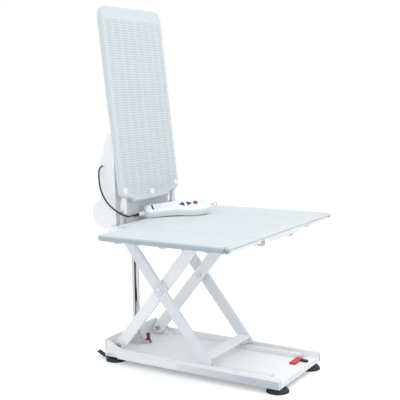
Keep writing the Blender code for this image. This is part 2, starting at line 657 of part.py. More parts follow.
axle_end = INNER_X + LEG_THICK - 0.0005
inner_axle = rod("inner_axle", "X", (-axle_end, axle_end), UPPER_FRONT, PIN_RADIUS, 24)
adopt(inner_axle, "inner_legs", STEEL)
plate_half = OUTER_X - GAP
cross_plate = box("front_cross_plate", (-plate_half, plate_half), (-0.0183, 0.0183), (-0.0025, 0.0025))
cross_plate.location = (0.0, FRONT_Y + 0.0012, PIVOT_Z + 0.0158)
cross_plate.rotation_euler = (radians(10.0), 0.0, 0.0)
adopt(bevel(cross_plate, 0.0010, 2), "outer_legs", COATED)

# Seat plate: a tray turned upside down, with the slotted brackets of the rear bushes
plate_low = PLATE_TOP - PLATE_RIM
skin_low = PLATE_TOP - PLATE_SKIN
seat_plate = slab("seat_plate", "Z", rounded((-SEAT_HALF, SEAT_HALF), (SEAT_FRONT, SEAT_REAR), 0.018),
                  (plate_low, PLATE_TOP))
cut(seat_plate, slab("plate_pocket", "Z", rounded((-SEAT_HALF + 0.004, SEAT_HALF - 0.004),
                                                  (SEAT_FRONT + 0.004, SEAT_REAR - 0.004), 0.014),
                     (plate_low - 0.005, skin_low)))
slot_rear = UPPER_REAR_Y + BUSH_RADIUS + 0.0006
slot_front = LOW_UPPER_REAR_Y - BUSH_RADIUS - 0.0006
slot_half = BUSH_RADIUS + PLAY
hanger = rounded((slot_front - 0.005, slot_rear + 0.005), (UPPER_Z - slot_half - 0.0045, skin_low + 0.0012), 0.003, 3)
slot = rounded((slot_front, slot_rear), (UPPER_Z - slot_half, UPPER_Z + slot_half), slot_half - 0.0002, 6)
for side, s in SIDES:
    join(seat_plate, slab("hanger_" + side, "X", hanger, span(s, SLOT_IN, SLOT_OUT), [slot]))
    cut(seat_plate, box("front_recess_" + side, span(s, SEAT_HALF - 0.085, SEAT_HALF - 0.011), (SEAT_FRONT - 0.003, SEAT_FRONT + 0.006),
                        (plate_low - 0.003, PLATE_TOP - 0.0045)))
adopt(seat_plate, "seat", WHITE)

# Slotted bars under the plate, for the rollers of the inner legs
track_half = SEAT_ROLLER + PLAY
track_rear = UPPER_FRONT_Y + SEAT_ROLLER + TRACK_ROOM
track_front = LOW_UPPER_FRONT_Y - SEAT_ROLLER - TRACK_ROOM
bar = rounded((track_front - 0.008, track_rear + 0.008), (UPPER_Z - track_half - 0.0032, skin_low - GAP), 0.003, 3)
track_low, track_high = UPPER_Z - track_half, UPPER_Z + track_half
track = [(track_front, track_low), (track_rear, track_low), (track_rear, track_high), (track_front, track_high)]
for side, s in SIDES:
    seat_rail = slab("seat_rail_" + side, "X", bar, span(s, INNER_X - 0.0135, INNER_X - 0.0010), [track])
    adopt(seat_rail, "seat", GREY)

# Covers: seat and flaps, thin and slightly crowned
seat_cover = pad("seat_cover", (-HINGE_X + SPLIT, HINGE_X - SPLIT), (SEAT_FRONT - 0.002, COVER_REAR),
                 COVER_BASE, COVER_BASE + 0.0045, SEAT_TOP, 0.012, 0.0012, (18, 20))
adopt(seat_cover, "seat", FABRIC)
for side, s in SIDES:
    flap_low = PLATE_TOP - 0.0080
    flap = slab("flap_plate_" + side, "Z", rounded(span(s, HINGE_X + SPLIT, FLAP_OUT - 0.0100),
                                                   (SEAT_FRONT, FLAP_REAR - 0.003), 0.012), (flap_low, PLATE_TOP))
    pocket = box("flap_pocket_" + side, span(s, HINGE_X + 0.020, FLAP_OUT - 0.0200),
                 (SEAT_FRONT + 0.016, FLAP_REAR - 0.019), (flap_low - 0.004, PLATE_TOP - 0.0035))
    cut(flap, pocket)
    adopt(flap, "flap_" + side, WHITE)
    cover = pad("flap_cover_" + side, span(s, HINGE_X + SPLIT, FLAP_OUT), (SEAT_FRONT - 0.002, FLAP_REAR),
                FLAP_LOW, COVER_BASE + 0.0045, SEAT_TOP, 0.014, 0.0012, (14, 20))
    room = box("flap_room_" + side, span(s, HINGE_X - 0.010, FLAP_OUT - 0.0100 + GAP),
               (SEAT_FRONT - 0.020, FLAP_REAR + 0.020), (FLAP_LOW - 0.010, COVER_BASE))
    cut(cover, room)
    adopt(cover, "flap_" + side, FABRIC)


# Back panel and its cover, in the panel's own frame: y runs backwards, z up the panel
def back_outline(inset):
    half, top, step = BACK_HALF - inset, BACK_TOP - inset, BACK_STEP + inset
    low, corner, foot = BACK_LOW + inset, 0.035 - inset, 0.022 - inset / 2
    tab, tab_root = BACK_HALF - 0.065, BACK_HALF - 0.053
    points = [(inset - tab, low), (tab - inset, low), (tab_root, step)]
    points += arc((half - foot, step + foot + 0.005), foot, -90, 0, 5)
    points += arc((half - corner, top - corner), corner, 0, 90, 8)
    points += arc((-half + corner, top - corner), corner, 90, 180, 8)
    points += arc((-half + foot, step + foot + 0.005), foot, 180, 270, 5)
    points += [(-tab_root, step)]
    return points


def lean(obj):
    obj.location = Vector((0.0, BACK_Y, BACK_Z)) + Matrix.Rotation(-LEAN, 3, "X") @ obj.location
    obj.rotation_euler = (-LEAN, 0.0, 0.0)
    return obj


WRAP = 0.0042
panel_front = BACK_FRONT - COVER_THICK - GAP
back_panel = slab("back_panel", "Y", back_outline(WRAP + GAP), (-panel_front, -PANEL_BACK))
arm = [(-0.0130, 0.075), (-0.0130, 0.042), (-ARM_EYE, 0.002)]
arm += arc((0.0, 0.0), ARM_EYE, 180, 360, 10)
arm += [(ARM_EYE, 0.002), (0.0010, 0.030), (-0.0045, 0.045), (-0.0045, 0.075)]
for side, s in SIDES:
    arm_reach = span(s, ARM_X - ARM_HALF, ARM_X + ARM_HALF)
    join(back_panel, slab("arm_" + side, "X", arm, arm_reach, [circle((0, 0), HINGE_PIN + PLAY, 16)]))
STUDS = ((0.020 - BACK_HALF, 0.0690), (0.0, 0.0520), (BACK_HALF - 0.020, 0.0690))
for i, (u, v) in enumerate(STUDS):
    stud = rounded((u - 0.0075, u + 0.0075), (v - 0.0048, v + 0.0048), 0.0045, 4)
    join(back_panel, slab("stud_%d" % i, "Y", stud, (-BACK_FRONT - 0.0012, -panel_front + 0.002)))
adopt(lean(settle(back_panel)), "back", WHITE)

back_cover = slab("back_cover", "Y", back_outline(0.0), (-BACK_FRONT, -PANEL_BACK))
bevel(back_cover, 0.0030, 3)
cut(back_cover, slab("cover_room", "Y", back_outline(WRAP), (-BACK_FRONT + COVER_THICK, 0.020)))
for i, (u, v) in enumerate(STUDS):
    hole = rounded((u - 0.0079, u + 0.0079), (v - 0.0052, v + 0.0052), 0.0049, 4)
    cut(back_cover, slab("stud_hole_%d" % i, "Y", hole, (-BACK_FRONT - 0.004, -panel_front + 0.004)))
for side, s in SIDES:
    gate = box("arm_gate_" + side, span(s, ARM_X - ARM_HALF - 0.001, ARM_X + ARM_HALF + 0.001),
               (-0.0142, 0.0100), (0.0200, 0.0560))
    cut(back_cover, gate)
adopt(lean(settle(back_cover)), "back", FABRIC)

# Clevises on the seat plate, and the pins the back panel folds on
ear_in, ear_out = ARM_X - ARM_HALF - 0.0008, ARM_X + ARM_HALF + 0.0008
ear_top = BACK_Z + 0.0085
clevis = [
    (ear_in - 0.0035, COVER_BASE), (ear_out + 0.0035, COVER_BASE), (ear_out + 0.0035, ear_top), (ear_out, ear_top),
    (ear_out, COVER_BASE + 0.004), (ear_in, COVER_BASE + 0.004), (ear_in, ear_top), (ear_in - 0.0035, ear_top)]
pin_in, pin_out = ear_in - 0.0035 - GAP, ear_out + 0.0035 + GAP
hinge_pin = [
    (0.0, pin_out + 0.0022), (0.0052, pin_out + 0.0022), (0.0052, pin_out), (HINGE_PIN, pin_out),
    (HINGE_PIN, pin_in), (0.0052, pin_in), (0.0052, pin_in - 0.0022), (0.0, pin_in - 0.0022)]
for side, s in SIDES:
    outline = [(s * u, v) for u, v in clevis]
    back_hinge = slab("back_hinge_" + side, "Y", outline, (BACK_Y - 0.0070, BACK_Y + 0.0070))
    cut(back_hinge, rod("pin_hole_" + side, "X", span(s, ear_in - 0.010, ear_out + 0.010), (BACK_Y, BACK_Z),
                        HINGE_PIN + PLAY, 16))
    adopt(back_hinge, "seat", GREY)
    adopt(turned("back_hinge_pin_" + side, "X", hinge_pin, (BACK_Y, BACK_Z), 20, side=s), "seat", STEEL)


# Drive housing: a wedge with a narrow spine for the tube, on a round barrel that holds the drive
HOUSING_REAR = ((0.0175, 0.0845), (0.0240, 0.1095), (0.0270, 0.1420), (0.0230, 0.1745), (0.0165, 0.2045))
GLAND = (TUBE_Y + 0.0055, PLATE_TOP + 0.1875)


def housing_outline(inset, front):
    low = COVER_BASE + inset
    radius = BULB_RADIUS - inset
    start = -180 + asin((BULB_Z - low) / radius) * 180 / pi
    points = [(front, low)]
    points += arc((BULB_Y, BULB_Z), radius, start, 79, 30)
    points += [(TUBE_Y + u - inset, PLATE_TOP + v) for u, v in HOUSING_REAR]
    points += [
        (TUBE_Y + 0.0035 - inset, HOUSING_TOP - 0.0390 - inset / 2),
        (TUBE_Y - 0.0115 - inset / 2, HOUSING_TOP - 0.0100 - inset),
        (TUBE_Y - 0.0270, HOUSING_TOP - inset), (front + 0.0043, HOUSING_TOP - inset)]
    return points


SPINE_TOP = NUT_TOP + DROP + 0.0010
BARREL_TOP = BULB_Z + BULB_RADIUS + 0.0008
around = HOUSING_HALF + 0.050
for name, low, high in (("drive_barrel", 0.0, BARREL_TOP), ("drive_housing", BARREL_TOP + GAP, SPINE_TOP + 0.1)):
    shell = slab(name, "X", housing_outline(0.0, HOUSING_FRONT), (-HOUSING_HALF, HOUSING_HALF))
    if name == "drive_housing":
        join(shell, box("spine", (-SPINE_HALF, SPINE_HALF), (SPINE_FRONT, SPINE_REAR),
                        (PLATE_TOP + 0.1645, SPINE_TOP + 0.003)))
        join(shell, rod("cord_gland", "X", (-HOUSING_HALF - 0.0085, -HOUSING_HALF + 0.002), GLAND, 0.0055, 20))
    cut(shell, slab(name + "_room", "X", housing_outline(SHELL, HOUSING_FRONT - 0.008),
                    (-HOUSING_HALF + SHELL, HOUSING_HALF - SHELL)))
    cut(shell, box(name + "_channel", (-SPINE_HALF + 0.003, SPINE_HALF - 0.003),
                   (SPINE_FRONT + 0.0023, SPINE_REAR - 0.003), (PLATE_TOP - 0.0255, SPINE_TOP)))
    shape(shell, box(name + "_half", (-around, around), (HOUSING_FRONT - 0.1, BULB_Y + 0.2), (low, high)),
          "INTERSECT")
    adopt(shell, "seat", WHITE)
front_low, front_high = COVER_BASE + SHELL + GAP, HOUSING_TOP - SHELL - GAP - 0.001
front_rise = 0.0043 / (HOUSING_TOP - COVER_BASE)
cover_plate = [
    (HOUSING_FRONT + GAP + front_rise * (front_low - COVER_BASE), front_low),
    (HOUSING_FRONT + 0.0022 + front_rise * (front_low - COVER_BASE), front_low),
    (HOUSING_FRONT + 0.0022 + front_rise * (front_high - COVER_BASE), front_high),
    (HOUSING_FRONT + GAP + front_rise * (front_high - COVER_BASE), front_high)]
inside = HOUSING_HALF - SHELL - GAP
adopt(slab("housing_front", "X", cover_plate, (-inside, inside)), "seat", GREY)

# Motor, gearbox and battery lie in the barrel, either side of the tube
barrel = BULB_RADIUS - SHELL - GAP
tube_room = SPINE_HALF - 0.003 + 0.0015
gear_end = -tube_room - 0.0280
adopt(rod("gearbox", "X", (gear_end, -tube_room), (BULB_Y, BULB_Z), barrel, 24), "seat", GREY)
motor_end = -inside + 0.004
motor = [
    (0.0, gear_end - GAP), (0.0300, gear_end - GAP), (0.0300, motor_end + 0.012), (0.0120, motor_end + 0.012),
    (0.0120, motor_end), (0.0, motor_end)]
adopt(turned("motor", "X", motor, (BULB_Y, BULB_Z), 28), "seat", STEEL)
adopt(rod("battery_pack", "X", (tube_room, inside - 0.006), (BULB_Y, BULB_Z), barrel, 24), "seat", BATTERY)
spindle = rod("spindle", "Z", (PLATE_TOP + 0.0145, SPINE_TOP - GAP), (0.0, TUBE_Y + SEAT_STRAY / 2), SPINDLE_RADIUS, 16)
adopt(spindle, "seat", STEEL)

# Hand control: plan drawn along its own axis, then laid on the seat.  It rests on its near edge, at the
# cord end and at the wide part, and on the hanging hook under its far side, so its keys face the sitter.
HAND_PLAN = ((0.008, 0.0195), (0.030, 0.0215), (0.080, 0.0225), (0.108, 0.0250), (0.132, 0.0310), (0.155, 0.0360),
             (0.178, 0.0380))


def edge_drop(half):
    # how far the rounded near edge reaches below the control's own axis once it is rolled
    return (half - HAND_EDGE) * sin(HAND_ROLL) + HAND_EDGE * (1.0 - cos(HAND_ROLL))


end_place, end_half = HAND_PLAN[0]
wide_place, wide_half = HAND_PLAN[5]
hand_pitch = atan2(edge_drop(wide_half) - edge_drop(end_half), wide_place - end_place)
HAND_Z = SEAT_TOP + GAP + edge_drop(end_half) * cos(hand_pitch) - end_place * sin(hand_pitch)
hand_turn = Matrix.Rotation(HAND_TURN, 3, "Z") @ Matrix.Rotation(-hand_pitch, 3, "Y")
hand_turn = hand_turn @ Matrix.Rotation(HAND_ROLL, 3, "X")
hand_along = hand_turn @ Vector((1.0, 0.0, 0.0))


def hand_point(along, across, up):
    return Vector((HAND_X, HAND_Y, HAND_Z)) + hand_turn @ Vector((along, across, up))


def hand(obj):
    obj.location = hand_point(*obj.location)
    obj.rotation_euler = hand_turn.to_euler()
    return obj


def hand_plan():
    points = [(u, -v) for u, v in HAND_PLAN]
    points += arc((HAND_LENGTH - 0.0420, 0.0), 0.0390, -64, 64, 16)
    points += [(u, v) for u, v in reversed(HAND_PLAN)]
    points += [(0.0, 0.0110), (0.0, -0.0110)]
    return points


def hook_outline(place):
    # leg and toe of the hanging hook, the toe lying along the seat
    def seat_line(across, up=0.0):
        level = SEAT_TOP + GAP + 0.0002 + up - HAND_Z - place * sin(hand_pitch)
        return across, (level / cos(hand_pitch) - across * sin(HAND_ROLL)) / cos(HAND_ROLL)
    return [(0.0190, 0.0030), (0.0190, seat_line(0.0190)[1]), seat_line(0.0040), seat_line(0.0040, 0.0030),
            seat_line(0.0150, 0.0035), (0.0150, 0.0030)]


HOOK_AT, HOOK_HALF = 0.1600, 0.0070
HEIGHT = HAND_HEIGHT
for name, low, high in (("handset_lower", -0.01, HAND_SPLIT), ("handset_upper", HAND_SPLIT + GAP, HEIGHT + 0.01)):
    case = slab(name, "Z", hand_plan(), (0.0, HEIGHT))
    bevel(case, HAND_EDGE, 3, 60)
    half = box(name + "_half", (-0.05, HAND_LENGTH + 0.05), (-0.08, 0.08), (low, high))
    shape(case, half, "INTERSECT")
    if name == "handset_lower":
        nose = rounded((HAND_LENGTH - 0.016, HAND_LENGTH + 0.010), (-0.0100, 0.0100), 0.0060, 4)
        join(case, slab("hang_eye", "Z", nose, (0.0080, 0.0120)))
        join(case, slab("hang_hook", "X", hook_outline(HOOK_AT - HOOK_HALF), (HOOK_AT - HOOK_HALF, HOOK_AT + HOOK_HALF)))
        cut(case, rod("hang_hole", "Z", (0.004, 0.016), (HAND_LENGTH + 0.0035, 0.0), 0.0035, 16))
        adopt(hand(settle(case)), "seat", WHITE)
    else:
        upper_case = case


def triangle(centre, size, heading):
    points = []
    for k in range(3):
        corner = heading + k * 120
        at = (centre + size * cos(radians(corner)), size * sin(radians(corner)))
        points += arc(at, 0.0020, corner - 60, corner + 60, 3)
    return points


BUTTONS = (("button_up", 0.130, 180, BLUE), ("button_down", 0.152, 0, BLUE), ("button_stop", 0.176, None, STOP))
pocket_low = HEIGHT - 0.0036
for name, place, heading, mat in BUTTONS:
    body(name, hand_point(place, 0.0, HEIGHT), "seat")
    if heading is None:
        key, well = circle((place, 0.0), 0.0080, 24), circle((place, 0.0), 0.0084, 24)
    else:
        key, well = triangle(place, 0.0085, heading), triangle(place, 0.0093, heading)
    cut(upper_case, slab(name + "_well", "Z", well, (pocket_low, HEIGHT + 0.004)))
    button = hand(slab(name, "Z", key, (pocket_low + BUTTON_TRAVEL + GAP, HEIGHT + 0.0012)))
    adopt(bevel(button, 0.0005, 1), name, mat)
adopt(hand(settle(upper_case)), "seat", WHITE)

# Strain relief and cord: from the handset round the right clevis up to the gland on the housing
RELIEF_ROUTE = ((-0.0230, 0.0115, 0.0135), (-0.0380, 0.0110, 0.0105), (-0.0540, 0.0060, 0.0085))
CORD_ROUTE = (
    (0.0500, -0.0045, 0.0065), (0.0220, -0.0165, 0.0060), (0.0000, -0.0160, 0.0120), (-0.0120, 0.0110, 0.0325),
    (-0.0170, 0.0440, 0.0665), (-0.0200, 0.0660, 0.1095), (-0.0240, 0.0725, 0.1475), (-0.0200, 0.0680, 0.1745))
relief_start = hand_point(-GAP - 0.0002, 0.0, 0.4 * HEIGHT)
relief_knots = [relief_start, relief_start - hand_along * 0.0070]
relief_knots += [Vector((HAND_X + u, BACK_Y + v, SEAT_TOP + w)) for u, v, w in RELIEF_ROUTE]
relief = wire("strain_relief", smooth_path(relief_knots, 4), 0.0060, 2, (1.0, 0.62))
adopt(relief, "seat", RUBBER)
toward = (relief_knots[-1] - relief_knots[-2]).normalized()
cord_knots = [relief_knots[-1] + toward * 0.0006]
cord_knots += [Vector((u - HOUSING_HALF, BACK_Y + v, SEAT_TOP + w)) for u, v, w in CORD_ROUTE]
cord_knots += [Vector((-HOUSING_HALF - out, *GLAND)) for out in (0.0125, 0.0085 + GAP)]
hand_cord = wire("hand_cord", smooth_path(cord_knots, 7), CORD_RADIUS, 2)
adopt(hand_cord, "seat", RUBBER)
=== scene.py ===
import bpy
import bmesh
import json
import numpy as np
from math import sin, cos, pi, radians, hypot
from mathutils import Matrix, Vector
from mathutils.bvhtree import BVHTree


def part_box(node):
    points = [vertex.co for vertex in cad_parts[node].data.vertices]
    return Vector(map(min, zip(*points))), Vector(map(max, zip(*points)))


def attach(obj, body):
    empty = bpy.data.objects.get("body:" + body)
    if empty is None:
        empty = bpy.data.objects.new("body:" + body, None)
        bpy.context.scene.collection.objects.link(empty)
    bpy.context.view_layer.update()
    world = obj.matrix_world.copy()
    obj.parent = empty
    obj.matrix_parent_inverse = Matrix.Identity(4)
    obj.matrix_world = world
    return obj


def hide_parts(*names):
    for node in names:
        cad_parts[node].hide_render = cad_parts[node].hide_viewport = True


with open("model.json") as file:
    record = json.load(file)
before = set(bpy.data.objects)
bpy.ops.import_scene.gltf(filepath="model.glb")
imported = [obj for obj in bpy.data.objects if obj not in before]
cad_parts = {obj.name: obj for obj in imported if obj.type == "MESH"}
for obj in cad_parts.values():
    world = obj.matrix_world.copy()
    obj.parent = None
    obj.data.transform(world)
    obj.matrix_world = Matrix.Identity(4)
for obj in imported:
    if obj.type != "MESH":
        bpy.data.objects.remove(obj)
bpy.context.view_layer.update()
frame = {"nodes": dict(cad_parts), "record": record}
nodes = frame["nodes"]
scene = bpy.context.scene
scene.view_settings.view_transform = "Standard"

# Camera: the photograph's own viewpoint, low and well to the sitter's right, on a
# long lens that takes in the whole lift in a square picture.
EYE = Vector((-2.1966, -1.3114, 0.8721))
SIGHT = Vector((0.8486, 0.5124, -0.1314))
UPRIGHT = Vector((0.1185, 0.0580, 0.9913))
IMAGE_PIXELS, FOCAL_PIXELS, SENSOR_WIDE = 400, 816.9, 36.0
camera = bpy.data.objects.new("camera", bpy.data.cameras.new("camera"))
scene.collection.objects.link(camera)
camera.data.sensor_width = SENSOR_WIDE
camera.data.lens = SENSOR_WIDE * FOCAL_PIXELS / IMAGE_PIXELS
rightward = SIGHT.cross(UPRIGHT).normalized()
upward = rightward.cross(SIGHT).normalized()
facing = Matrix((rightward, upward, -SIGHT.normalized())).transposed().to_4x4()
camera.matrix_world = Matrix.Translation(EYE) @ facing
scene.camera = camera


# Hand cord: a black cable, 5 mm thick, from the gland on the housing down round the
# right clevis to the sleeve on the hand control.  All of it shows.
class Value:
    # a value on its way through a node tree, so that sums of nodes read as sums
    def __init__(self, book, socket):
        self.book, self.socket = book, socket

    def _with(self, operation, first, second):
        return self.book.node("ShaderNodeMath", {"operation": operation}, {0: first, 1: second})

    def __add__(self, other):
        return self._with("ADD", self, other)

    def __rsub__(self, other):
        return self._with("SUBTRACT", other, self)

    def __mul__(self, other):
        return self._with("MULTIPLY", self, other)

    __radd__ = __add__
    __rmul__ = __mul__


class NodeBook:
    # writes nodes into one tree, shader or geometry
    def __init__(self, tree):
        self.tree = tree

    def node(self, kind, settings, sockets, output=0):
        made = self.tree.nodes.new(kind)
        for key, value in settings.items():
            setattr(made, key, value)
        for key, value in sockets.items():
            self.feed(made.inputs[key], value)
        return None if output is None else Value(self, made.outputs[output])

    def feed(self, socket, value):
        if isinstance(value, Value):
            self.tree.links.new(value.socket, socket)
        else:
            socket.default_value = value

    def ramp(self, value, low, high):
        made = self.node("ShaderNodeValToRGB", {}, {"Fac": value})
        for stop, at, shade in zip(made.socket.node.color_ramp.elements, (low, high), (0.0, 1.0)):
            stop.position, stop.color = at, (shade, shade, shade, 1.0)
        return made


class Finish(NodeBook):
    # one material; its constants are given by socket name, with _ for a space
    def __init__(self, name, **fixed):
        self.material = bpy.data.materials.new(name)
        self.material.use_nodes = True
        super().__init__(self.material.node_tree)
        self.shader = self.tree.nodes["Principled BSDF"]
        for socket, value in fixed.items():
            self.shader.inputs[socket.replace("_", " ")].default_value = value
        self.place = self.node("ShaderNodeTexCoord", {}, {}, "Object")

    def set(self, socket, value):
        self.feed(self.shader.inputs[socket], value)

    def noise(self, scale, detail=2.0, stretch=(1.0, 1.0, 1.0)):
        at = self.node("ShaderNodeVectorMath", {"operation": "MULTIPLY"}, {0: self.place, 1: stretch})
        return self.node("ShaderNodeTexNoise", {}, {"Vector": at, "Scale": scale, "Detail": detail}, "Fac")

    def mix(self, factor, first, second):
        return self.node("ShaderNodeMix", {"data_type": "RGBA"}, {0: factor, 6: first, 7: second}, 2)

    def relief(self, height, depth, edge=0.0):
        # a bump, over hard edges rounded off by the Bevel node where an edge is given
        sockets = {"Height": height, "Distance": depth, "Strength": 1.0}
        if edge:
            sockets["Normal"] = self.node("ShaderNodeBevel", {"samples": 4}, {"Radius": edge})
        self.set("Normal", self.node("ShaderNodeBump", {}, sockets))

    def mottled(self, deep, light, cloud, rough, grain=None, edge=0.0):
        # two shades clouded together, a roughness of low + swing * noise, and a fine grain
        self.set("Base Color", self.mix(self.noise(*cloud), colour(*deep), colour(*light)))
        low, swing, *speckle = rough
        self.set("Roughness", low + swing * self.noise(*speckle))
        if grain:
            *fine, depth = grain
            self.relief(self.noise(*fine), depth, edge)
        return self


def colour(red, green, blue):
    return (red, green, blue, 1.0)


def smooth_path(knots, per_span):
    points = []
    ends = [2 * knots[0] - knots[1], *knots, 2 * knots[-1] - knots[-2]]
    for i in range(1, len(ends) - 2):
        a, b, c, d = ends[i - 1:i + 3]
        for k in range(per_span):
            t = k / per_span
            points.append(0.5 * (2 * b + (c - a) * t + (2 * a - 5 * b + 4 * c - d) * t ** 2
                                 + (3 * b - a - 3 * c + d) * t ** 3))
    points.append(knots[-1])
    return points


cable = Finish("cable_jacket").mottled((0.006, 0.006, 0.007), (0.013, 0.013, 0.015), cloud=(40.0,),
                                       rough=(0.38, 0.2, 160.0), grain=(900.0, 2.0, 0.00008))
CORD_RADIUS, CORD_STEPS, GLAND_REACH = 0.0025, 7, 0.0085
CLEAR_OF_GLAND, CLEAR_OF_SLEEVE = 0.0003, 0.0006
joint_rows = frame["record"]["behaviour"]["joints"]
BACK_AXIS = Vector(next(row["pos_m"] for row in joint_rows if row["name"] == "back_fold"))
seat_low, seat_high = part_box("seat_cover")
SEAT_TOP = seat_high.z
HOUSING_SIDE = -0.1500
GLAND = Vector((HOUSING_SIDE, BACK_AXIS.y + 0.0650, SEAT_TOP + 0.1785))
HAND_AT = Vector((-0.0220, BACK_AXIS.y + 0.0050, SEAT_TOP + 0.0067))
HAND_TURN, HAND_PITCH, HAND_ROLL = radians(-39.0), radians(3.212), radians(30.0)
HAND_HEIGHT = 0.0300
hand_place = Matrix.Translation(HAND_AT) @ Matrix.Rotation(HAND_TURN, 4, "Z")
hand_place = hand_place @ Matrix.Rotation(-HAND_PITCH, 4, "Y") @ Matrix.Rotation(HAND_ROLL, 4, "X")
hand_along, hand_across, hand_up = hand_place.to_3x3().col
RELIEF_START, RELIEF_STRAIGHT = Vector((-0.0005, -0.0020, 0.36 * HAND_HEIGHT)), 0.0070
RELIEF_ROUTE = ((-0.0230, 0.0110, 0.0130), (-0.0380, 0.0112, 0.0125), (-0.0540, 0.0072, 0.0140))
CORD_ROUTE = (
    (0.0500, -0.0025, 0.0168), (0.0240, -0.0135, 0.0188), (0.0040, -0.0150, 0.0232),
    (-0.0085, -0.0030, 0.0312), (-0.0140, 0.0200, 0.0450), (-0.0178, 0.0460, 0.0690),
    (-0.0206, 0.0645, 0.1060), (-0.0226, 0.0690, 0.1440), (-0.0228, 0.0672, 0.1645),
    (-0.0209, 0.0660, 0.1715), (-0.0158, 0.0653, 0.1766))


def on_seat(side, route):
    # a route's points: x from the side given, y from the back's axis, z from the seat's top
    return [Vector((side + u, BACK_AXIS.y + v, SEAT_TOP + w)) for u, v, w in route]


relief_start = hand_place @ RELIEF_START
relief_knots = [relief_start, relief_start - hand_along * RELIEF_STRAIGHT] + on_seat(HAND_AT.x, RELIEF_ROUTE)
onward = (relief_knots[-1] - relief_knots[-2]).normalized()
cord_knots = [relief_knots[-1] + onward * CLEAR_OF_SLEEVE] + on_seat(HOUSING_SIDE, CORD_ROUTE)
cord_knots.append(GLAND - Vector((GLAND_REACH + CLEAR_OF_GLAND, 0, 0)))
cord_line = smooth_path(cord_knots, CORD_STEPS)[::-1]
cord_curve = bpy.data.curves.new("hand_cable", "CURVE")
cord_curve.dimensions = "3D"
cord_curve.bevel_depth = CORD_RADIUS
cord_curve.bevel_resolution = 4
cord_curve.use_fill_caps = True
spline = cord_curve.splines.new("POLY")
spline.points.add(len(cord_line) - 1)
for point, at in zip(spline.points, cord_line):
    point.co = (*at, 1.0)
hand_cable = bpy.data.objects.new("hand_cable", cord_curve)
scene.collection.objects.link(hand_cable)
cord_curve.materials.append(cable.material)
cord_length = sum((b - a).length for a, b in zip(cord_line, cord_line[1:]))
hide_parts("hand_cord")
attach(hand_cable, "seat")

# Strain relief: a ribbed rubber sleeve moulded on the cable where it enters the
# hand control, thick at the case and tapering to the cable.
RELIEF_WIDE, RELIEF_SLIM, RELIEF_STEPS, RELIEF_SIDES = 0.0060, 0.0036, 16, 20
RELIEF_RIBS, RIB_DEPTH, RIBS_FROM, RIBS_TO = 7, 0.0009, 0.16, 0.95


def piece_from(name, bm, finish=None):
    mesh = bpy.data.meshes.new(name)
    bm.to_mesh(mesh)
    bm.free()
    for face in mesh.polygons:
        face.use_smooth = True
    piece = bpy.data.objects.new(name, mesh)
    scene.collection.objects.link(piece)
    if finish:
        mesh.materials.append(finish.material)
    return piece


def tube(name, line, radii, sides, finish, across=Vector((0, 0, 1)), closed=False):
    # a round tube of changing thickness along a line, shut at both ends or joined to itself
    bm = bmesh.new()
    hoops = []
    last = len(line) - 1
    for i, at in enumerate(line):
        after = line[(i + 1) % len(line)] if closed else line[min(i + 1, last)]
        before = line[i - 1] if closed else line[max(i - 1, 0)]
        ahead = (after - before).normalized()
        side = (across - across.project(ahead)).normalized()
        over = ahead.cross(side)
        turns = np.linspace(0, 2 * pi, sides, endpoint=False)
        hoops.append([bm.verts.new(at + (side * cos(t) + over * sin(t)) * radii[i]) for t in turns])
    for a, b in zip(hoops, hoops[1:] + (hoops[:1] if closed else [])):
        for k in range(sides):
            bm.faces.new((a[k], a[k - 1], b[k - 1], b[k]))
    if not closed:
        bm.faces.new(hoops[0])
        bm.faces.new(hoops[-1][::-1])
    bmesh.ops.recalc_face_normals(bm, faces=bm.faces)
    return piece_from(name, bm, finish)


relief_line = smooth_path(relief_knots, RELIEF_STEPS)
relief_radii = []
for share in np.linspace(0, 1, len(relief_line)):
    hollow = 0.5 - 0.5 * cos(2 * pi * RELIEF_RIBS * share) if RIBS_FROM < share < RIBS_TO else 0.0
    relief_radii.append(RELIEF_WIDE + (RELIEF_SLIM - RELIEF_WIDE) * share - RIB_DEPTH * hollow)
cord_sleeve = tube("cord_sleeve", relief_line, relief_radii, RELIEF_SIDES, cable)
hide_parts("strain_relief")
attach(cord_sleeve, "seat")

# Studio: a pale floor that keeps the lift's shadow, a white surround seen by the
# camera and by shiny pieces, and two large soft lamps.  One dim patch on the floor
# and one in the surround give the polished tube something dark to mirror.
FLOOR_HALF, FLOOR_GLOW, SKY_FILL, DARK_PATCH = 40.0, 0.27, 0.88, 0.05
FADE_SCALE, FLOOR_FADE = 0.4, (0.22, 0.62)
FLOOR_PATCH_WAY, FLOOR_PATCH_FROM = (0.70, 0.82), (0.1, 0.2)
SKY_PATCH_WAY, SKY_PATCH_SHARE = (0.86, 0.95), 0.92
FLOOR_CORNERS = ((-1, -1), (1, -1), (1, 1), (-1, 1))
floor_mesh = bpy.data.meshes.new("floor")
floor_mesh.from_pydata([(FLOOR_HALF * x, FLOOR_HALF * y, 0) for x, y in FLOOR_CORNERS], [], [(0, 1, 2, 3)])
floor = bpy.data.objects.new("floor", floor_mesh)
scene.collection.objects.link(floor)


def light_path(book, kind):
    return book.node("ShaderNodeLightPath", {}, {}, kind)


def vector_maths(book, operation, sockets, output=0):
    return book.node("ShaderNodeVectorMath", {"operation": operation}, sockets, output)


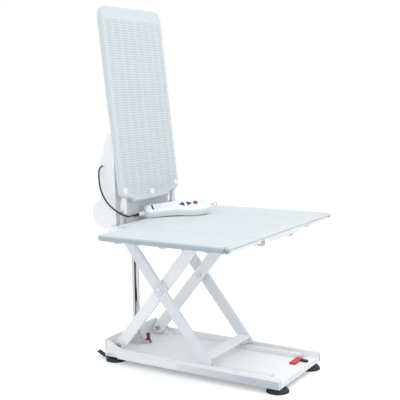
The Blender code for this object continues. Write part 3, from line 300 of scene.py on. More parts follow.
pale_floor = bpy.data.materials.new("pale_floor")
pale_floor.use_nodes = True
ground = NodeBook(pale_floor.node_tree)
ground.tree.nodes.clear()
to_eye = light_path(ground, "Is Camera Ray")
spot = ground.node("ShaderNodeTexCoord", {}, {}, "Object")
away = FADE_SCALE * vector_maths(ground, "LENGTH", {0: spot}, "Value")
matt = ground.node("ShaderNodeBsdfDiffuse", {}, {"Color": colour(0.86, 0.865, 0.87)})
glow = ground.node("ShaderNodeEmission", {}, {"Strength": FLOOR_GLOW * to_eye})
near = ground.node("ShaderNodeAddShader", {}, {0: matt, 1: glow})
white = ground.node("ShaderNodeEmission", {}, {"Strength": 1.0})
far = ground.ramp(away, *FLOOR_FADE) * to_eye
open_floor = ground.node("ShaderNodeMixShader", {}, {0: far, 1: near, 2: white})
tube_middle = sum(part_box("lift_tube"), Vector()) / 2
from_tube = vector_maths(ground, "SUBTRACT", {0: spot, 1: (tube_middle.x, tube_middle.y, 0)})
spot_way = vector_maths(ground, "NORMALIZE", {0: from_tube})
behind = vector_maths(ground, "DOT_PRODUCT", {0: spot_way, 1: -SIGHT}, "Value")
dim = ground.ramp(behind, *FLOOR_PATCH_WAY) * ground.ramp(away, *FLOOR_PATCH_FROM)
dim = dim * light_path(ground, "Is Glossy Ray")
dark = ground.node("ShaderNodeEmission", {}, {"Strength": DARK_PATCH})
whole_floor = ground.node("ShaderNodeMixShader", {}, {0: dim, 1: open_floor, 2: dark})
ground.node("ShaderNodeOutputMaterial", {}, {"Surface": whole_floor}, None)
floor_mesh.materials.append(pale_floor)

surround = bpy.data.worlds.new("surround")
scene.world = surround
surround.use_nodes = True
sky = NodeBook(surround.node_tree)
sky.tree.nodes.clear()
way = sky.node("ShaderNodeTexCoord", {}, {}, "Generated")
behind = vector_maths(sky, "DOT_PRODUCT", {0: way, 1: -SIGHT}, "Value")
dim = sky.ramp(behind, *SKY_PATCH_WAY) * light_path(sky, "Is Glossy Ray")
fill_strength = SKY_FILL * (1.0 - SKY_PATCH_SHARE * dim)
fill = sky.node("ShaderNodeBackground", {}, {"Color": colour(0.955, 0.98, 1.0), "Strength": fill_strength})
white = sky.node("ShaderNodeBackground", {}, {"Color": colour(1.0, 1.0, 1.0), "Strength": 1.0})
whole_sky = sky.node("ShaderNodeMixShader", {}, {0: light_path(sky, "Is Camera Ray"), 1: fill, 2: white})
sky.node("ShaderNodeOutputWorld", {}, {"Surface": whole_sky}, None)

LAMP_AIM = Vector((0, 0, 0.45))
LAMPS = (
    ("key_lamp", (0.5, -1.3, 4.2), 2.6, 54.0, (1.0, 0.99, 0.98)),
    ("side_lamp", (-3.4, -1.2, 2.2), 2.4, 26.0, (0.97, 0.985, 1.0)))
for name, at, size, power, tint in LAMPS:
    lamp = bpy.data.objects.new(name, bpy.data.lights.new(name, "AREA"))
    lamp.data.size, lamp.data.energy, lamp.data.color = size, power, tint
    lamp.location = at
    lamp.rotation_mode = "QUATERNION"
    lamp.rotation_quaternion = (LAMP_AIM - Vector(at)).to_track_quat("-Z", "Y")
    scene.collection.objects.link(lamp)


# White mouldings: base tray, drive housing and barrel, seat and flap plates, back
# panel.  Satin white plastic with a fine spark texture and a few faint scuffs.
def paint(finish, *names):
    for name in names:
        nodes[name].data.materials.clear()
        nodes[name].data.materials.append(finish.material)


def both(*names):
    return [name + side for name in names for side in ("_right", "_left")]


moulding = Finish("white_moulding", Specular_IOR_Level=0.42)
cloud = moulding.noise(5.0, 4.0)
moulding.set("Base Color", moulding.mix(moulding.ramp(cloud, 0.35, 0.75), colour(0.865, 0.872, 0.880),
                                        colour(0.900, 0.904, 0.904)))
scuff = moulding.ramp(moulding.noise(60.0, 5.0, (1.0, 0.12, 1.0)), 0.55, 0.72)
moulding.set("Roughness", 0.34 + 0.10 * cloud + 0.12 * scuff)
moulding.relief(moulding.noise(1400.0, 1.0), 0.00005, 0.0012)
paint(moulding, "base_tray", "seat_plate", *both("flap_plate"), "drive_housing", "drive_barrel", "back_panel")

# Grey mouldings: the seat's rails, the back's clevises, the gearbox and the tube's
# shoe.  The tray's roller tracks and the housing's front are of a paler grey.
grey_moulding = Finish("grey_moulding").mottled(
    (0.56, 0.585, 0.61), (0.64, 0.66, 0.68), cloud=(30.0, 4.0), rough=(0.42, 0.16, 30.0, 4.0),
    grain=(1100.0, 1.0, 0.00006), edge=0.0008)
paint(grey_moulding, *both("seat_rail", "back_hinge"), "gearbox", "rod_shoe")
pale_rail = Finish("pale_rail").mottled(
    (0.74, 0.755, 0.77), (0.82, 0.83, 0.835), cloud=(24.0, 4.0),
    rough=(0.36, 0.2, 70.0, 3.0, (6.0, 0.4, 6.0)), grain=(1000.0, 1.0, 0.00005), edge=0.0008)
paint(pale_rail, *both("guide_rail"), "housing_front")


# Legs: flat steel bars with a powder coat, its fine orange peel and edges where the
# coat is worn a little thinner.  The outer pair and its pivots carry painted shade: the
# same coat in a greyer colour, standing in for the shade that falls on them.
def powder_coated(name, deep, light):
    coat = Finish(name, Coat_Roughness=0.25)
    soft = coat.node("ShaderNodeBevel", {"samples": 4}, {"Radius": 0.0014})
    flat = coat.node("ShaderNodeNewGeometry", {}, {}, "Normal")
    on_face = vector_maths(coat, "DOT_PRODUCT", {0: soft, 1: flat}, "Value")
    worn = coat.ramp(1.0 - on_face, 0.02, 0.25) * coat.ramp(coat.noise(45.0, 4.0), 0.45, 0.65)
    whole = coat.mix(coat.noise(7.0, 3.0), colour(*deep), colour(*light))
    coat.set("Base Color", coat.mix(worn * 0.55, whole, colour(0.62, 0.64, 0.66)))
    peel = coat.noise(420.0, 2.0)
    coat.set("Roughness", 0.30 + 0.16 * peel + 0.1 * worn)
    coat.relief(peel, 0.00010, 0.0012)
    return coat


white_coat = powder_coated("white_coat", (0.870, 0.884, 0.898), (0.900, 0.908, 0.916))
# painted shade: the outer legs' coat is the inner legs' coat given a greyer colour
shade_painted_coat = powder_coated("shade_painted_coat", (0.722, 0.751, 0.784), (0.772, 0.794, 0.820))
paint(white_coat, *both("inner_leg"), "front_cross_plate")
paint(shade_painted_coat, *both("outer_leg", "mid_pivot"))

# Lift tube: polished stainless steel, drawn, with faint draw lines along it.  It
# stands in the shoe and runs up into the housing.
DRAWN = (700.0, 2.0, (1.0, 1.0, 0.01))
polished = Finish("polished_tube", Metallic=1.0).mottled(
    (0.62, 0.63, 0.65), (0.76, 0.77, 0.79), cloud=DRAWN, rough=(0.03, 0.07, *DRAWN), grain=(*DRAWN, 0.00003))
paint(polished, "lift_tube")

# Bolts, pins, axles, motor and spindle: plain turned steel, with the fine marks of
# the lathe and no coat.
LATHE = (500.0, 3.0)
turned_steel = Finish("turned_steel", Metallic=1.0).mottled(
    (0.46, 0.47, 0.49), (0.62, 0.63, 0.65), cloud=LATHE, rough=(0.24, 0.22, *LATHE), grain=(*LATHE, 0.00004),
    edge=0.0006)
paint(turned_steel, *both("base_pivot_bolt", "back_hinge_pin"), "latch_axle", "inner_axle", "motor",
      "spindle")

# Rubber: the suction feet and the slider's thumb pad, moulded in black with a faint
# grey bloom.
rubber = Finish("black_rubber_face")
bloom = rubber.noise(25.0, 4.0)
rubber.set("Base Color", rubber.mix(rubber.ramp(bloom, 0.4, 0.8), colour(0.016, 0.016, 0.018),
                                    colour(0.034, 0.034, 0.037)))
rubber.set("Roughness", 0.48 + 0.22 * bloom)
rubber.relief(rubber.noise(800.0, 2.0), 0.00010, 0.0008)
paint(rubber, *both("suction_foot_front", "suction_foot_rear"), "slider_thumb_pad")

# Nylon rollers, bushes and spindle nut, in their natural cream.  The battery pack,
# out of sight in the housing, is wrapped in a blue shrink sleeve.
nylon = Finish("nylon_face", Subsurface_Weight=0.05).mottled(
    (0.74, 0.73, 0.69), (0.82, 0.81, 0.77), cloud=(60.0, 3.0), rough=(0.40, 0.2, 200.0),
    grain=(900.0, 2.0, 0.00005), edge=0.0006)
paint(nylon, *both("base_roller", "seat_roller", "slide_bush"), "spindle_nut")
sleeve_wrap = Finish("battery_sleeve_face").mottled(
    (0.06, 0.10, 0.22), (0.09, 0.14, 0.28), cloud=(12.0, 2.0), rough=(0.30, 0.2, 40.0),
    grain=(30.0, 3.0, 0.0004))
paint(sleeve_wrap, "battery_pack")

# Red lever behind and red slider in front: moulded in pigmented nylon, a shade
# darker on the lever.
RED_SHADES = {"rear_latch": ((0.16, 0.004, 0.010), (0.24, 0.008, 0.016)),
              "front_slider": ((0.52, 0.012, 0.045), (0.64, 0.022, 0.065))}
for name, (deep, light) in RED_SHADES.items():
    red = Finish(name + "_red").mottled(deep, light, cloud=(90.0, 3.0), rough=(0.30, 0.15, 300.0),
                                        grain=(1200.0, 2.0, 0.00004), edge=0.0009)
    paint(red, name)

# Hand control: two white half shells with a soft gloss, a white collar round the
# cable's sleeve, two dark blue arrow keys and a round dark red stop key.
case_white = Finish("handset_white", Coat_Weight=0.15, Coat_Roughness=0.2).mottled(
    (0.80, 0.81, 0.825), (0.85, 0.855, 0.86), cloud=(35.0, 4.0), rough=(0.22, 0.16, 35.0, 4.0),
    grain=(1500.0, 2.0, 0.00003), edge=0.0010)
paint(case_white, "handset_lower", "handset_upper")
COLLAR_WIDE, COLLAR_SLIM, COLLAR_SIDES, COLLAR_LIP = 0.0092, 0.0070, 24, (0.0003, 0.0010)
collar_line = relief_line[:len(relief_line) // 2]
collar_radii = np.linspace(COLLAR_WIDE, COLLAR_SLIM, len(collar_line))
collar_radii[-2:] -= COLLAR_LIP
cord_collar = tube("cord_collar", collar_line, collar_radii, COLLAR_SIDES, case_white)
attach(cord_collar, "seat")
ARROW_BLUE, STOP_RED, KEY_LIFT = (0.022, 0.020, 0.22), (0.26, 0.018, 0.036), 1.35
for name, shade in (("button_up", ARROW_BLUE), ("button_down", ARROW_BLUE), ("button_stop", STOP_RED)):
    key = Finish(name + "_rubber").mottled(
        shade, [KEY_LIFT * part for part in shade], cloud=(400.0, 3.0), rough=(0.40, 0.2, 900.0),
        grain=(1800.0, 2.0, 0.00004), edge=0.0006)
    paint(key, name)

# Cover fabric: pale blue-grey knit with pressed grooves.  The grooves are in the
# mesh; the fine knit is in the material, and painted shade darkens the groove floors
# and the turned-under edges.
WALE_SCALE, COURSE_SCALE = 180.0, 150.0
knit = Finish("cover_knit", Sheen_Weight=0.25, Sheen_Roughness=0.5)
crease_shade = knit.node("ShaderNodeAttribute", {"attribute_name": "groove"}, {}, "Fac")
wale, course = [knit.node("ShaderNodeTexWave", {"bands_direction": direction},
                          {"Vector": knit.place, "Scale": scale}, "Fac")
                for direction, scale in (("X", WALE_SCALE), ("DIAGONAL", COURSE_SCALE))]
yarn = 0.5 * wale + 0.5 * course
tone = knit.mix(knit.noise(9.0, 3.0), colour(0.632, 0.674, 0.694), colour(0.676, 0.712, 0.728))
tone = knit.mix(0.35 * yarn, tone, colour(0.75, 0.78, 0.79))
# painted shade: groove floors and turned-under edges darken toward this deep blue-grey
knit.set("Base Color", knit.mix(0.92 * crease_shade, tone, colour(0.35, 0.40, 0.445)))
knit.set("Roughness", 0.74 + 0.18 * yarn)
knit.relief(yarn + 0.4 * knit.noise(700.0, 2.0), 0.00022)
FAR_AWAY = 9.0


def outline_reach(points, shape):
    # shortest distance from each point to the drawn lines of the shape
    best = np.full(len(points), FAR_AWAY)
    for a, b in shape:
        a, b = np.array(a), np.array(b)
        along = b - a
        share = np.clip(((points - a) @ along) / max(along @ along, 1e-12), 0.0, 1.0)
        best = np.minimum(best, np.linalg.norm(points - (a + share[:, None] * along), axis=1))
    return best


def row_ends(loop, level):
    crossings = []
    for (ax, ay), (bx, by) in zip(loop, loop[1:] + loop[:1]):
        if (ay - level) * (by - level) < 0:
            crossings.append(ax + (bx - ax) * (level - ay) / (by - ay))
    return min(crossings), max(crossings)


def soft_grid(loop, free, levels, spread, crown, top, groove):
    # top points of a cover, row by row: rounded at its free edges, crowned, grooved
    lowest, highest = min(p[1] for p in loop) + 1e-6, max(p[1] for p in loop) - 1e-6
    rows = []
    for level in levels:
        left, right = row_ends(loop, min(max(level, lowest), highest))
        rows.append([(left + (right - left) * s, level) for s in spread])
    flat = np.array([point for row in rows for point in row])
    away, fall, turned = np.full(len(flat), FAR_AWAY), np.zeros(len(flat)), np.zeros(len(flat))
    for lines, edge, tint in free:
        reach = outline_reach(flat, lines)
        inside = np.clip(reach, 0.0, edge)
        fall = np.maximum(fall, edge - np.sqrt(np.maximum(edge ** 2 - (edge - inside) ** 2, 0.0)))
        away = np.minimum(away, reach)
        # each free edge's tint is painted shade on the cover's turned-under edge
        turned = np.maximum(turned, tint * (1.0 - inside / edge) ** 1.3)
    depth, hollow = groove(flat, away)
    height = top - fall + crown(flat, away) - depth * hollow
    # the third grid is painted shade per point, the larger of the groove's and the edge's
    return rows, height.reshape(len(levels), -1), np.maximum(hollow, turned).reshape(len(levels), -1)


def rim_of(grid):
    # once round the outside of a grid of rows
    right, left = [row[-1] for row in grid[1:-1]], [row[0] for row in grid[-2:0:-1]]
    return grid[0] + right + grid[-1][::-1] + left


def soft_body(name, rows, height, hollow, rings, to_world):
    # a closed body: the top grid, a wall led down by the rings, and an underside
    bm = bmesh.new()
    # the groove layer carries painted shade for the knit's colour
    shade_layer = bm.verts.layers.float.new("groove")
    lines = []
    for row, high, deep in zip(rows, height, hollow):
        line = []
        for (u, v), h, g in zip(row, high, deep):
            vert = bm.verts.new(to_world @ Vector((u, v, h)))
            vert[shade_layer] = g
            line.append(vert)
        lines.append(line)
    for a, b in zip(lines, lines[1:]):
        for i in range(len(a) - 1):
            bm.faces.new((a[i], a[i + 1], b[i + 1], b[i]))
    rim, flat = rim_of(lines), rim_of(rows)
    count = len(flat)
    inward = []
    for i in range(count):
        (ax, ay), (bx, by) = flat[i - 1], flat[(i + 1) % count]
        size = hypot(bx - ax, by - ay)
        inward.append(((ay - by) / size, (bx - ax) / size))
    for ring in rings:
        lower = []
        for (u, v), (du, dv) in zip(flat, inward):
            # a ring's third value, where given, is painted shade on the wall
            inset, level, *edge_shade = ring(u, v)
            lower.append(bm.verts.new(to_world @ Vector((u + du * inset, v + dv * inset, level))))
            lower[-1][shade_layer] = edge_shade[0] if edge_shade else 0.0
        for i in range(count):
            bm.faces.new((rim[i - 1], lower[i - 1], lower[i], rim[i]))
        rim = lower
    bm.faces.new(rim[::-1])
    bmesh.ops.recalc_face_normals(bm, faces=bm.faces)
    return piece_from(name, bm, knit)


def led_ring(plain, turned, share_at):
    # one ring of a cover's wall: inset, level and painted shade, led by place from plain to turned over
    def ring(u, v):
        share = share_at(u, v)
        return [a + (b - a) * share for a, b in zip(plain, turned)]
    return ring


def even_ring(inset, level):
    return lambda u, v: (inset, level)


BAG_ROWS, BAG_COLUMNS, BAG_VOXEL, BAG_FRAMES = 40, 30, 0.005, 20
PRESSURE, STRETCH_STIFF, BEND_STIFF = 4.0, 12.0, 0.6
READ_ACROSS, READ_ALONG, READ_SMOOTHINGS, CROWN_FADE = 48, 64, 8, 0.022


def blown_up(name, pad, hold, cap):
    # swell a closed pad with cloth, moving no point further than the cap, and give its surface
    shell = pad.modifiers.new("remesh", "REMESH")
    shell.mode, shell.voxel_size = "VOXEL", BAG_VOXEL
    graph = bpy.context.evaluated_depsgraph_get()
    blank = bpy.data.meshes.new_from_object(pad.evaluated_get(graph))
    bpy.data.objects.remove(pad)
    bag = bpy.data.objects.new(name + "_bag", blank)
    scene.collection.objects.link(bag)
    start = np.array([v.co for v in blank.vertices])
    held = bag.vertex_groups.new(name="held")
    held.add([int(i) for i in np.nonzero(hold(start))[0]], 1.0, "REPLACE")
    cloth = bag.modifiers.new("cloth", "CLOTH")
    cloth.collision_settings.use_collision = False
    cloth.settings.vertex_group_mass = "held"
    cloth.settings.effector_weights.gravity = 0.0
    cloth.settings.use_pressure = True
    cloth.settings.uniform_pressure_force = PRESSURE
    cloth.settings.quality = 4
    cloth.settings.tension_stiffness = cloth.settings.compression_stiffness = STRETCH_STIFF
    cloth.settings.bending_stiffness = BEND_STIFF
    for step in range(1, BAG_FRAMES + 1):
        scene.frame_set(step)
    graph = bpy.context.evaluated_depsgraph_get()
    full = bag.evaluated_get(graph).to_mesh()
    ends = np.array([v.co for v in full.vertices])
    faces = [tuple(face.vertices) for face in full.polygons]
    bpy.data.objects.remove(bag)
    scene.frame_set(1)
    moved = ends - start
    size = np.linalg.norm(moved, axis=1, keepdims=True)
    ends = start + moved * np.minimum(1.0, cap / np.maximum(size, 1e-9))
    return BVHTree.FromPolygons([tuple(p) for p in ends], faces)


def no_crown(points, away):
    return np.zeros(len(points))


def no_groove(points, away):
    return 0.0, np.zeros(len(points))


def swollen(name, loop, free, top, rings, hold, cap):
    # blow a plain copy of the cover up a little with cloth, and read its crown back
    low, high = min(p[1] for p in loop), max(p[1] for p in loop)
    plain = soft_grid(loop, free, np.linspace(low, high, BAG_ROWS), np.linspace(0, 1, BAG_COLUMNS),
                      no_crown, top, no_groove)
    pad = soft_body(name + "_blank", *plain, rings, Matrix.Identity(4))
    surface = blown_up(name, pad, hold, cap)
    span_u = np.linspace(min(p[0] for p in loop), max(p[0] for p in loop), READ_ACROSS)
    span_v = np.linspace(low, high, READ_ALONG)
    rise = np.zeros((READ_ALONG, READ_ACROSS))
    for j, v in enumerate(span_v):
        for i, u in enumerate(span_u):
            hit = surface.ray_cast(Vector((u, v, top + 0.1)), Vector((0, 0, -1)))[0]
            rise[j, i] = np.clip(hit.z - top, 0.0, cap) if hit else 0.0
    for _ in range(READ_SMOOTHINGS):
        wide = np.pad(rise, 1, mode="edge")
        around = wide[:-2, 1:-1] + wide[2:, 1:-1] + wide[1:-1, :-2] + wide[1:-1, 2:]
        rise = (around + 4 * rise) / 8

    def crown(points, away):
        i = np.clip((points[:, 0] - span_u[0]) / (span_u[1] - span_u[0]), 0, READ_ACROSS - 1.001)
        j = np.clip((points[:, 1] - span_v[0]) / (span_v[1] - span_v[0]), 0, READ_ALONG - 1.001)
        i0, j0 = i.astype(int), j.astype(int)
        fi, fj = i - i0, j - j0
        near = rise[j0, i0] * (1 - fi) + rise[j0, i0 + 1] * fi
        far = rise[j0 + 1, i0] * (1 - fi) + rise[j0 + 1, i0 + 1] * fi
        return (near * (1 - fj) + far * fj) * np.clip(away / CROWN_FADE, 0.0, 1.0)

    return crown


COLUMN, COLUMN_GAP, ROW_PITCH, STRIP_SHARE = 0.0400, 0.0075, 0.0081, 0.38
SIDE_SOFT, END_SOFT, BORDER_SOFT = 0.0025, 0.003, 0.004
EDGE_STEPS, EDGE_ROOM = [0.0, 0.0004, 0.0012, 0.0026, 0.0045, 0.0075, 0.012], 0.014
COLUMN_MARKS, FOLD_STEPS, ROW_STEPS = (-0.0175, -0.0150, 0.0, 0.0150, 0.0175), [0.0, 0.004], 5


def ribbed(centre, depth, shade, low, high, border):
    # rows of pressed grooves, shallower in the strips between the columns, with a plain border
    def groove(points, away):
        across = np.mod(points[:, 0] - centre + COLUMN / 2, COLUMN) - COLUMN / 2
        inside = np.clip((COLUMN / 2 - COLUMN_GAP / 2 - np.abs(across)) / SIDE_SOFT, 0.0, 1.0)
        line = np.clip(0.5 - 0.5 * np.cos(2 * pi * points[:, 1] / ROW_PITCH), 0.0, 1.0) ** 1.5
        ends = np.clip((points[:, 1] - low) / END_SOFT, 0, 1)
        ends = ends * np.clip((high - points[:, 1]) / END_SOFT, 0, 1)
        room = np.clip((away - border) / BORDER_SOFT, 0.0, 1.0)
        return depth / shade, shade * (STRIP_SHARE + (1 - STRIP_SHARE) * inside) * line * ends * room
    return groove


def levels_over(low, high, first=EDGE_ROOM):
    # rows of one cover: fine at both ends, and five to each groove between
    body_rows = np.arange(low + first, high - EDGE_ROOM, ROW_PITCH / ROW_STEPS)
    return [low + step for step in EDGE_STEPS] + list(body_rows) + [high - step for step in EDGE_STEPS[::-1]]


def spread_over(low, high, free_low, free_high, centre=0.0):
    # places across one cover: fine at free edges, and at the sides of each groove column
    width = high - low
    marks = [COLUMN * k + offset + centre - low for k in range(-12, 13) for offset in COLUMN_MARKS]
    marks = sorted(m for m in marks if EDGE_ROOM < m < width - EDGE_ROOM)
    start, end = [EDGE_STEPS if is_free else FOLD_STEPS for is_free in (free_low, free_high)]
    return [m / width for m in start + marks] + [1 - m / width for m in end[::-1]]


def arc(centre, radius, start, end, count):
    steps = [radians(start + (end - start) * k / count) for k in range(count + 1)]
    return [(centre[0] + radius * cos(t), centre[1] + radius * sin(t)) for t in steps]


# Back cover: a fitted knit cover over foam, drawn over the back panel, turned over
# behind it above the housing, and held by three studs at its foot.  It swells a
# little between its hard edges and is drawn in round the studs.
BACK_HALF, BACK_TOP, BACK_LOW, BACK_STEP = 0.1650, 0.6485, 0.0305, 0.0425
# the back's edge tint is painted shade along the cover's rounded edges
BACK_FACE, BACK_REAR, BACK_EDGE, BACK_EDGE_SHADE, BACK_CAP = 0.0212, 0.0036, 0.0075, 0.2, 0.0045
TAB, TAB_ROOT, BACK_CORNER, FOOT, FOOT_LIFT = 0.100, 0.112, 0.035, 0.022, 0.005
LEAN = radians(6.46)
stand_up = Matrix(((1, 0, 0, 0), (0, 0, -1, 0), (0, 1, 0, 0), (0, 0, 0, 1)))
back_place = Matrix.Translation(BACK_AXIS) @ Matrix.Rotation(-LEAN, 4, "X") @ stand_up
back_out = back_place.to_3x3().col[2]
back_loop = [(-TAB, BACK_LOW), (TAB, BACK_LOW), (TAB_ROOT, BACK_STEP)]
back_loop += arc((BACK_HALF - FOOT, BACK_STEP + FOOT + FOOT_LIFT), FOOT, -90, 0, 8)
back_loop += arc((BACK_HALF - BACK_CORNER, BACK_TOP - BACK_CORNER), BACK_CORNER, 0, 90, 12)
back_loop += [(-u, v) for u, v in reversed(back_loop[2:])]
back_free = [(list(zip(back_loop, back_loop[1:] + back_loop[:1])), BACK_EDGE, BACK_EDGE_SHADE)]
PANEL_REAR, TURNED_FROM, TURNED_BLEND, TURNED_WIDE, CLOTH = 0.0030, 0.30, 0.020, 0.0200, 0.0012
back_wall = [even_ring(0.0, BACK_FACE - BACK_EDGE - 0.004), even_ring(0.0006, BACK_REAR + 0.003)]
HEM_RINGS = (
    ((0.0026, BACK_REAR), (0.0014, PANEL_REAR - 0.0002)),
    ((0.0028, BACK_REAR), (0.0042, PANEL_REAR - CLOTH)),
    ((0.0030, BACK_REAR), (TURNED_WIDE - 0.0010, PANEL_REAR - CLOTH)),
    ((0.0032, BACK_REAR), (TURNED_WIDE, PANEL_REAR - 0.5 * CLOTH)),
    ((0.0034, BACK_REAR), (TURNED_WIDE, BACK_REAR)))


def turned_share(u, v):
    # the cover's edge lies behind the panel above the housing, and stops at its side below
    return min(max((v - TURNED_FROM) / TURNED_BLEND, 0.0), 1.0)


hem_rings = back_wall + [led_ring(plain, turned, turned_share) for plain, turned in HEM_RINGS]


def hold_back(points):
    return points[:, 2] < BACK_FACE - 0.006


back_crown = swollen(
    "back", back_loop, back_free, BACK_FACE, back_wall + [even_ring(0.0026, BACK_REAR)], hold_back, BACK_CAP)
STUD_IN = 0.0200
STUDS = ((STUD_IN - BACK_HALF, 0.0690), (0.0, 0.0520), (BACK_HALF - STUD_IN, 0.0690))
STUD_ROOM, STUD_PULL = 0.0120, 0.020
GROOVE_DEPTH, GROOVE_SHADE, GROOVES_LOW, GROOVES_HIGH, BACK_BORDER = 0.0012, 0.55, 0.040, 0.606, 0.011
back_grooves = ribbed(COLUMN / 2, GROOVE_DEPTH, GROOVE_SHADE, GROOVES_LOW, GROOVES_HIGH, BACK_BORDER)


def stud_reach(points):
    return np.min([np.hypot(points[:, 0] - u, points[:, 1] - v) for u, v in STUDS], axis=0)


def drawn_in(points, away):
    return back_crown(points, away) * (1.0 - np.exp(-(stud_reach(points) / STUD_PULL) ** 2))


def grooves_off_studs(points, away):
    depth, hollow = back_grooves(points, away)
    return depth, hollow * np.clip((stud_reach(points) - STUD_ROOM) / BORDER_SOFT, 0.0, 1.0)


back_levels = levels_over(BACK_LOW, BACK_TOP, first=0.0155)
back_spread = spread_over(-BACK_HALF, BACK_HALF, True, True, COLUMN / 2)
back_parts = soft_grid(back_loop, back_free, back_levels, back_spread, drawn_in, BACK_FACE, grooves_off_studs)
back_cushion = soft_body("back_cushion", *back_parts, hem_rings, back_place)
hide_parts("back_cover")
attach(back_cushion, "back")

# Seat cover and the two flap covers: the same knit, laid flat over the plates and
# turned under at the free edges.  They meet at the fold line without a step.
SEAT_EDGE, ROLL_EDGE, SEAT_CAP, TURN_UNDER, SEAT_SUNK = 0.0055, 0.0090, 0.0012, 0.0020, 0.0008
FAINT, FAINT_SHADE, SEAT_MARGIN, SEAT_BORDER, FLAP_BORDER = 0.00022, 0.165, 0.02, 0.014, 0.016
HOLD_LOW, HOLD_SIDE, ON_FOLD = 0.002, 0.012, 0.0005
under, seat_face = seat_low.z + 0.0002, SEAT_TOP - SEAT_SUNK
seat_loop = [(seat_low.x, seat_low.y), (seat_high.x, seat_low.y), (seat_high.x, seat_high.y),
             (seat_low.x, seat_high.y)]
seat_free = [([(seat_loop[0], seat_loop[1]), (seat_loop[2], seat_loop[3])], SEAT_EDGE, 0.0)]
seat_rings = [even_ring(0.0004, under + 0.0012),
              lambda u, v: (TURN_UNDER if abs(u) < seat_high.x - 0.001 else 0.0, under)]


def hold_seat(points):
    return (points[:, 2] < under + HOLD_LOW) | (np.abs(points[:, 0]) > seat_high.x - HOLD_SIDE)


FLAP_CORNER, CORNER_STEPS, ROLL_WIDE, ROLL_BLEND = 0.014, 8, 0.0145, 0.006
flap_low, flap_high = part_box("flap_cover_left")
flap_loop = [(flap_low.x, flap_low.y)]
flap_loop += arc((flap_high.x - FLAP_CORNER, flap_low.y + FLAP_CORNER), FLAP_CORNER, -90, 0, CORNER_STEPS)
flap_loop += arc((flap_high.x - FLAP_CORNER, flap_high.y - FLAP_CORNER), FLAP_CORNER, 0, 90, CORNER_STEPS)
flap_loop.append((flap_low.x, flap_high.y))
outer_edge = flap_loop[1 + CORNER_STEPS // 2:-1 - CORNER_STEPS // 2]
# the outer edge's tint of 1.0 is painted shade on the rolled edge
flap_free = [(list(zip(flap_loop, flap_loop[1:])), SEAT_EDGE, 0.0),
             (list(zip(outer_edge, outer_edge[1:])), ROLL_EDGE, 1.0)]
plate_side = flap_high.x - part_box("flap_plate_left")[1].x
# each rolled ring's third number is painted shade on the turned-under outer edge
FLAP_RINGS = (
    ((0.0, under + 0.0012, 0.0), (0.0, flap_low.z + 0.0055, 0.85)),
    ((0.0014, under + 0.0006, 0.0), (0.0014, flap_low.z + 0.0010, 1.0)),
    ((0.0045, under + 0.0003, 0.0), (0.0045, flap_low.z, 0.0)),
    ((0.0060, under, 0.0), (plate_side - 0.0006, flap_low.z + 0.0020, 0.0)),
    ((0.0062, under, 0.0), (plate_side - 0.0004, under, 0.0)))


def rolled_share(u, v):
    return min(max((u - flap_high.x + ROLL_WIDE) / ROLL_BLEND, 0.0), 1.0)


def flap_ring(plain, rolled):
    # rolled under at the outer edge, and flush with the seat's cover at the fold
    led = led_ring(plain, rolled, rolled_share)

    def ring(u, v):
        # tint here is painted shade on the rolled edge
        inset, level, tint = led(u, v)
        return 0.0 if u < flap_low.x + ON_FOLD else inset, level, tint
    return ring


def hold_flap(points):
    return (points[:, 2] < under + HOLD_LOW) | (points[:, 0] < flap_low.x + HOLD_SIDE)


flap_rings = [flap_ring(plain, rolled) for plain, rolled in FLAP_RINGS]
seat_crown = swollen("seat", seat_loop, seat_free, seat_face, seat_rings, hold_seat, SEAT_CAP)
flap_crown = swollen("flap", flap_loop, flap_free, seat_face, flap_rings, hold_flap, SEAT_CAP)
seat_groove = ribbed(0.0, FAINT, FAINT_SHADE, seat_low.y + SEAT_MARGIN, seat_high.y - SEAT_MARGIN,
                     SEAT_BORDER)
seat_parts = soft_grid(seat_loop, seat_free, levels_over(seat_low.y, seat_high.y),
                       spread_over(seat_low.x, seat_high.x, False, False), seat_crown, seat_face, seat_groove)
seat_cushion = soft_body("seat_cushion", *seat_parts, seat_rings, Matrix.Identity(4))
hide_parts("seat_cover")
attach(seat_cushion, "seat")
flap_groove = ribbed(0.0, FAINT, FAINT_SHADE, flap_low.y + SEAT_MARGIN, flap_high.y - SEAT_MARGIN,
                     FLAP_BORDER)
flap_parts = soft_grid(flap_loop, flap_free, levels_over(flap_low.y, flap_high.y),
                       spread_over(flap_low.x, flap_high.x, False, True), flap_crown, seat_face, flap_groove)
SIDES = (("left", 1), ("right", -1))
for side, turn in SIDES:
    mirror = Matrix.Diagonal((turn, 1, 1, 1))
    flap_cushion = soft_body("flap_cushion_" + side, *flap_parts, flap_rings, mirror)
    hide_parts("flap_cover_" + side)
    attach(flap_cushion, "flap_" + side)


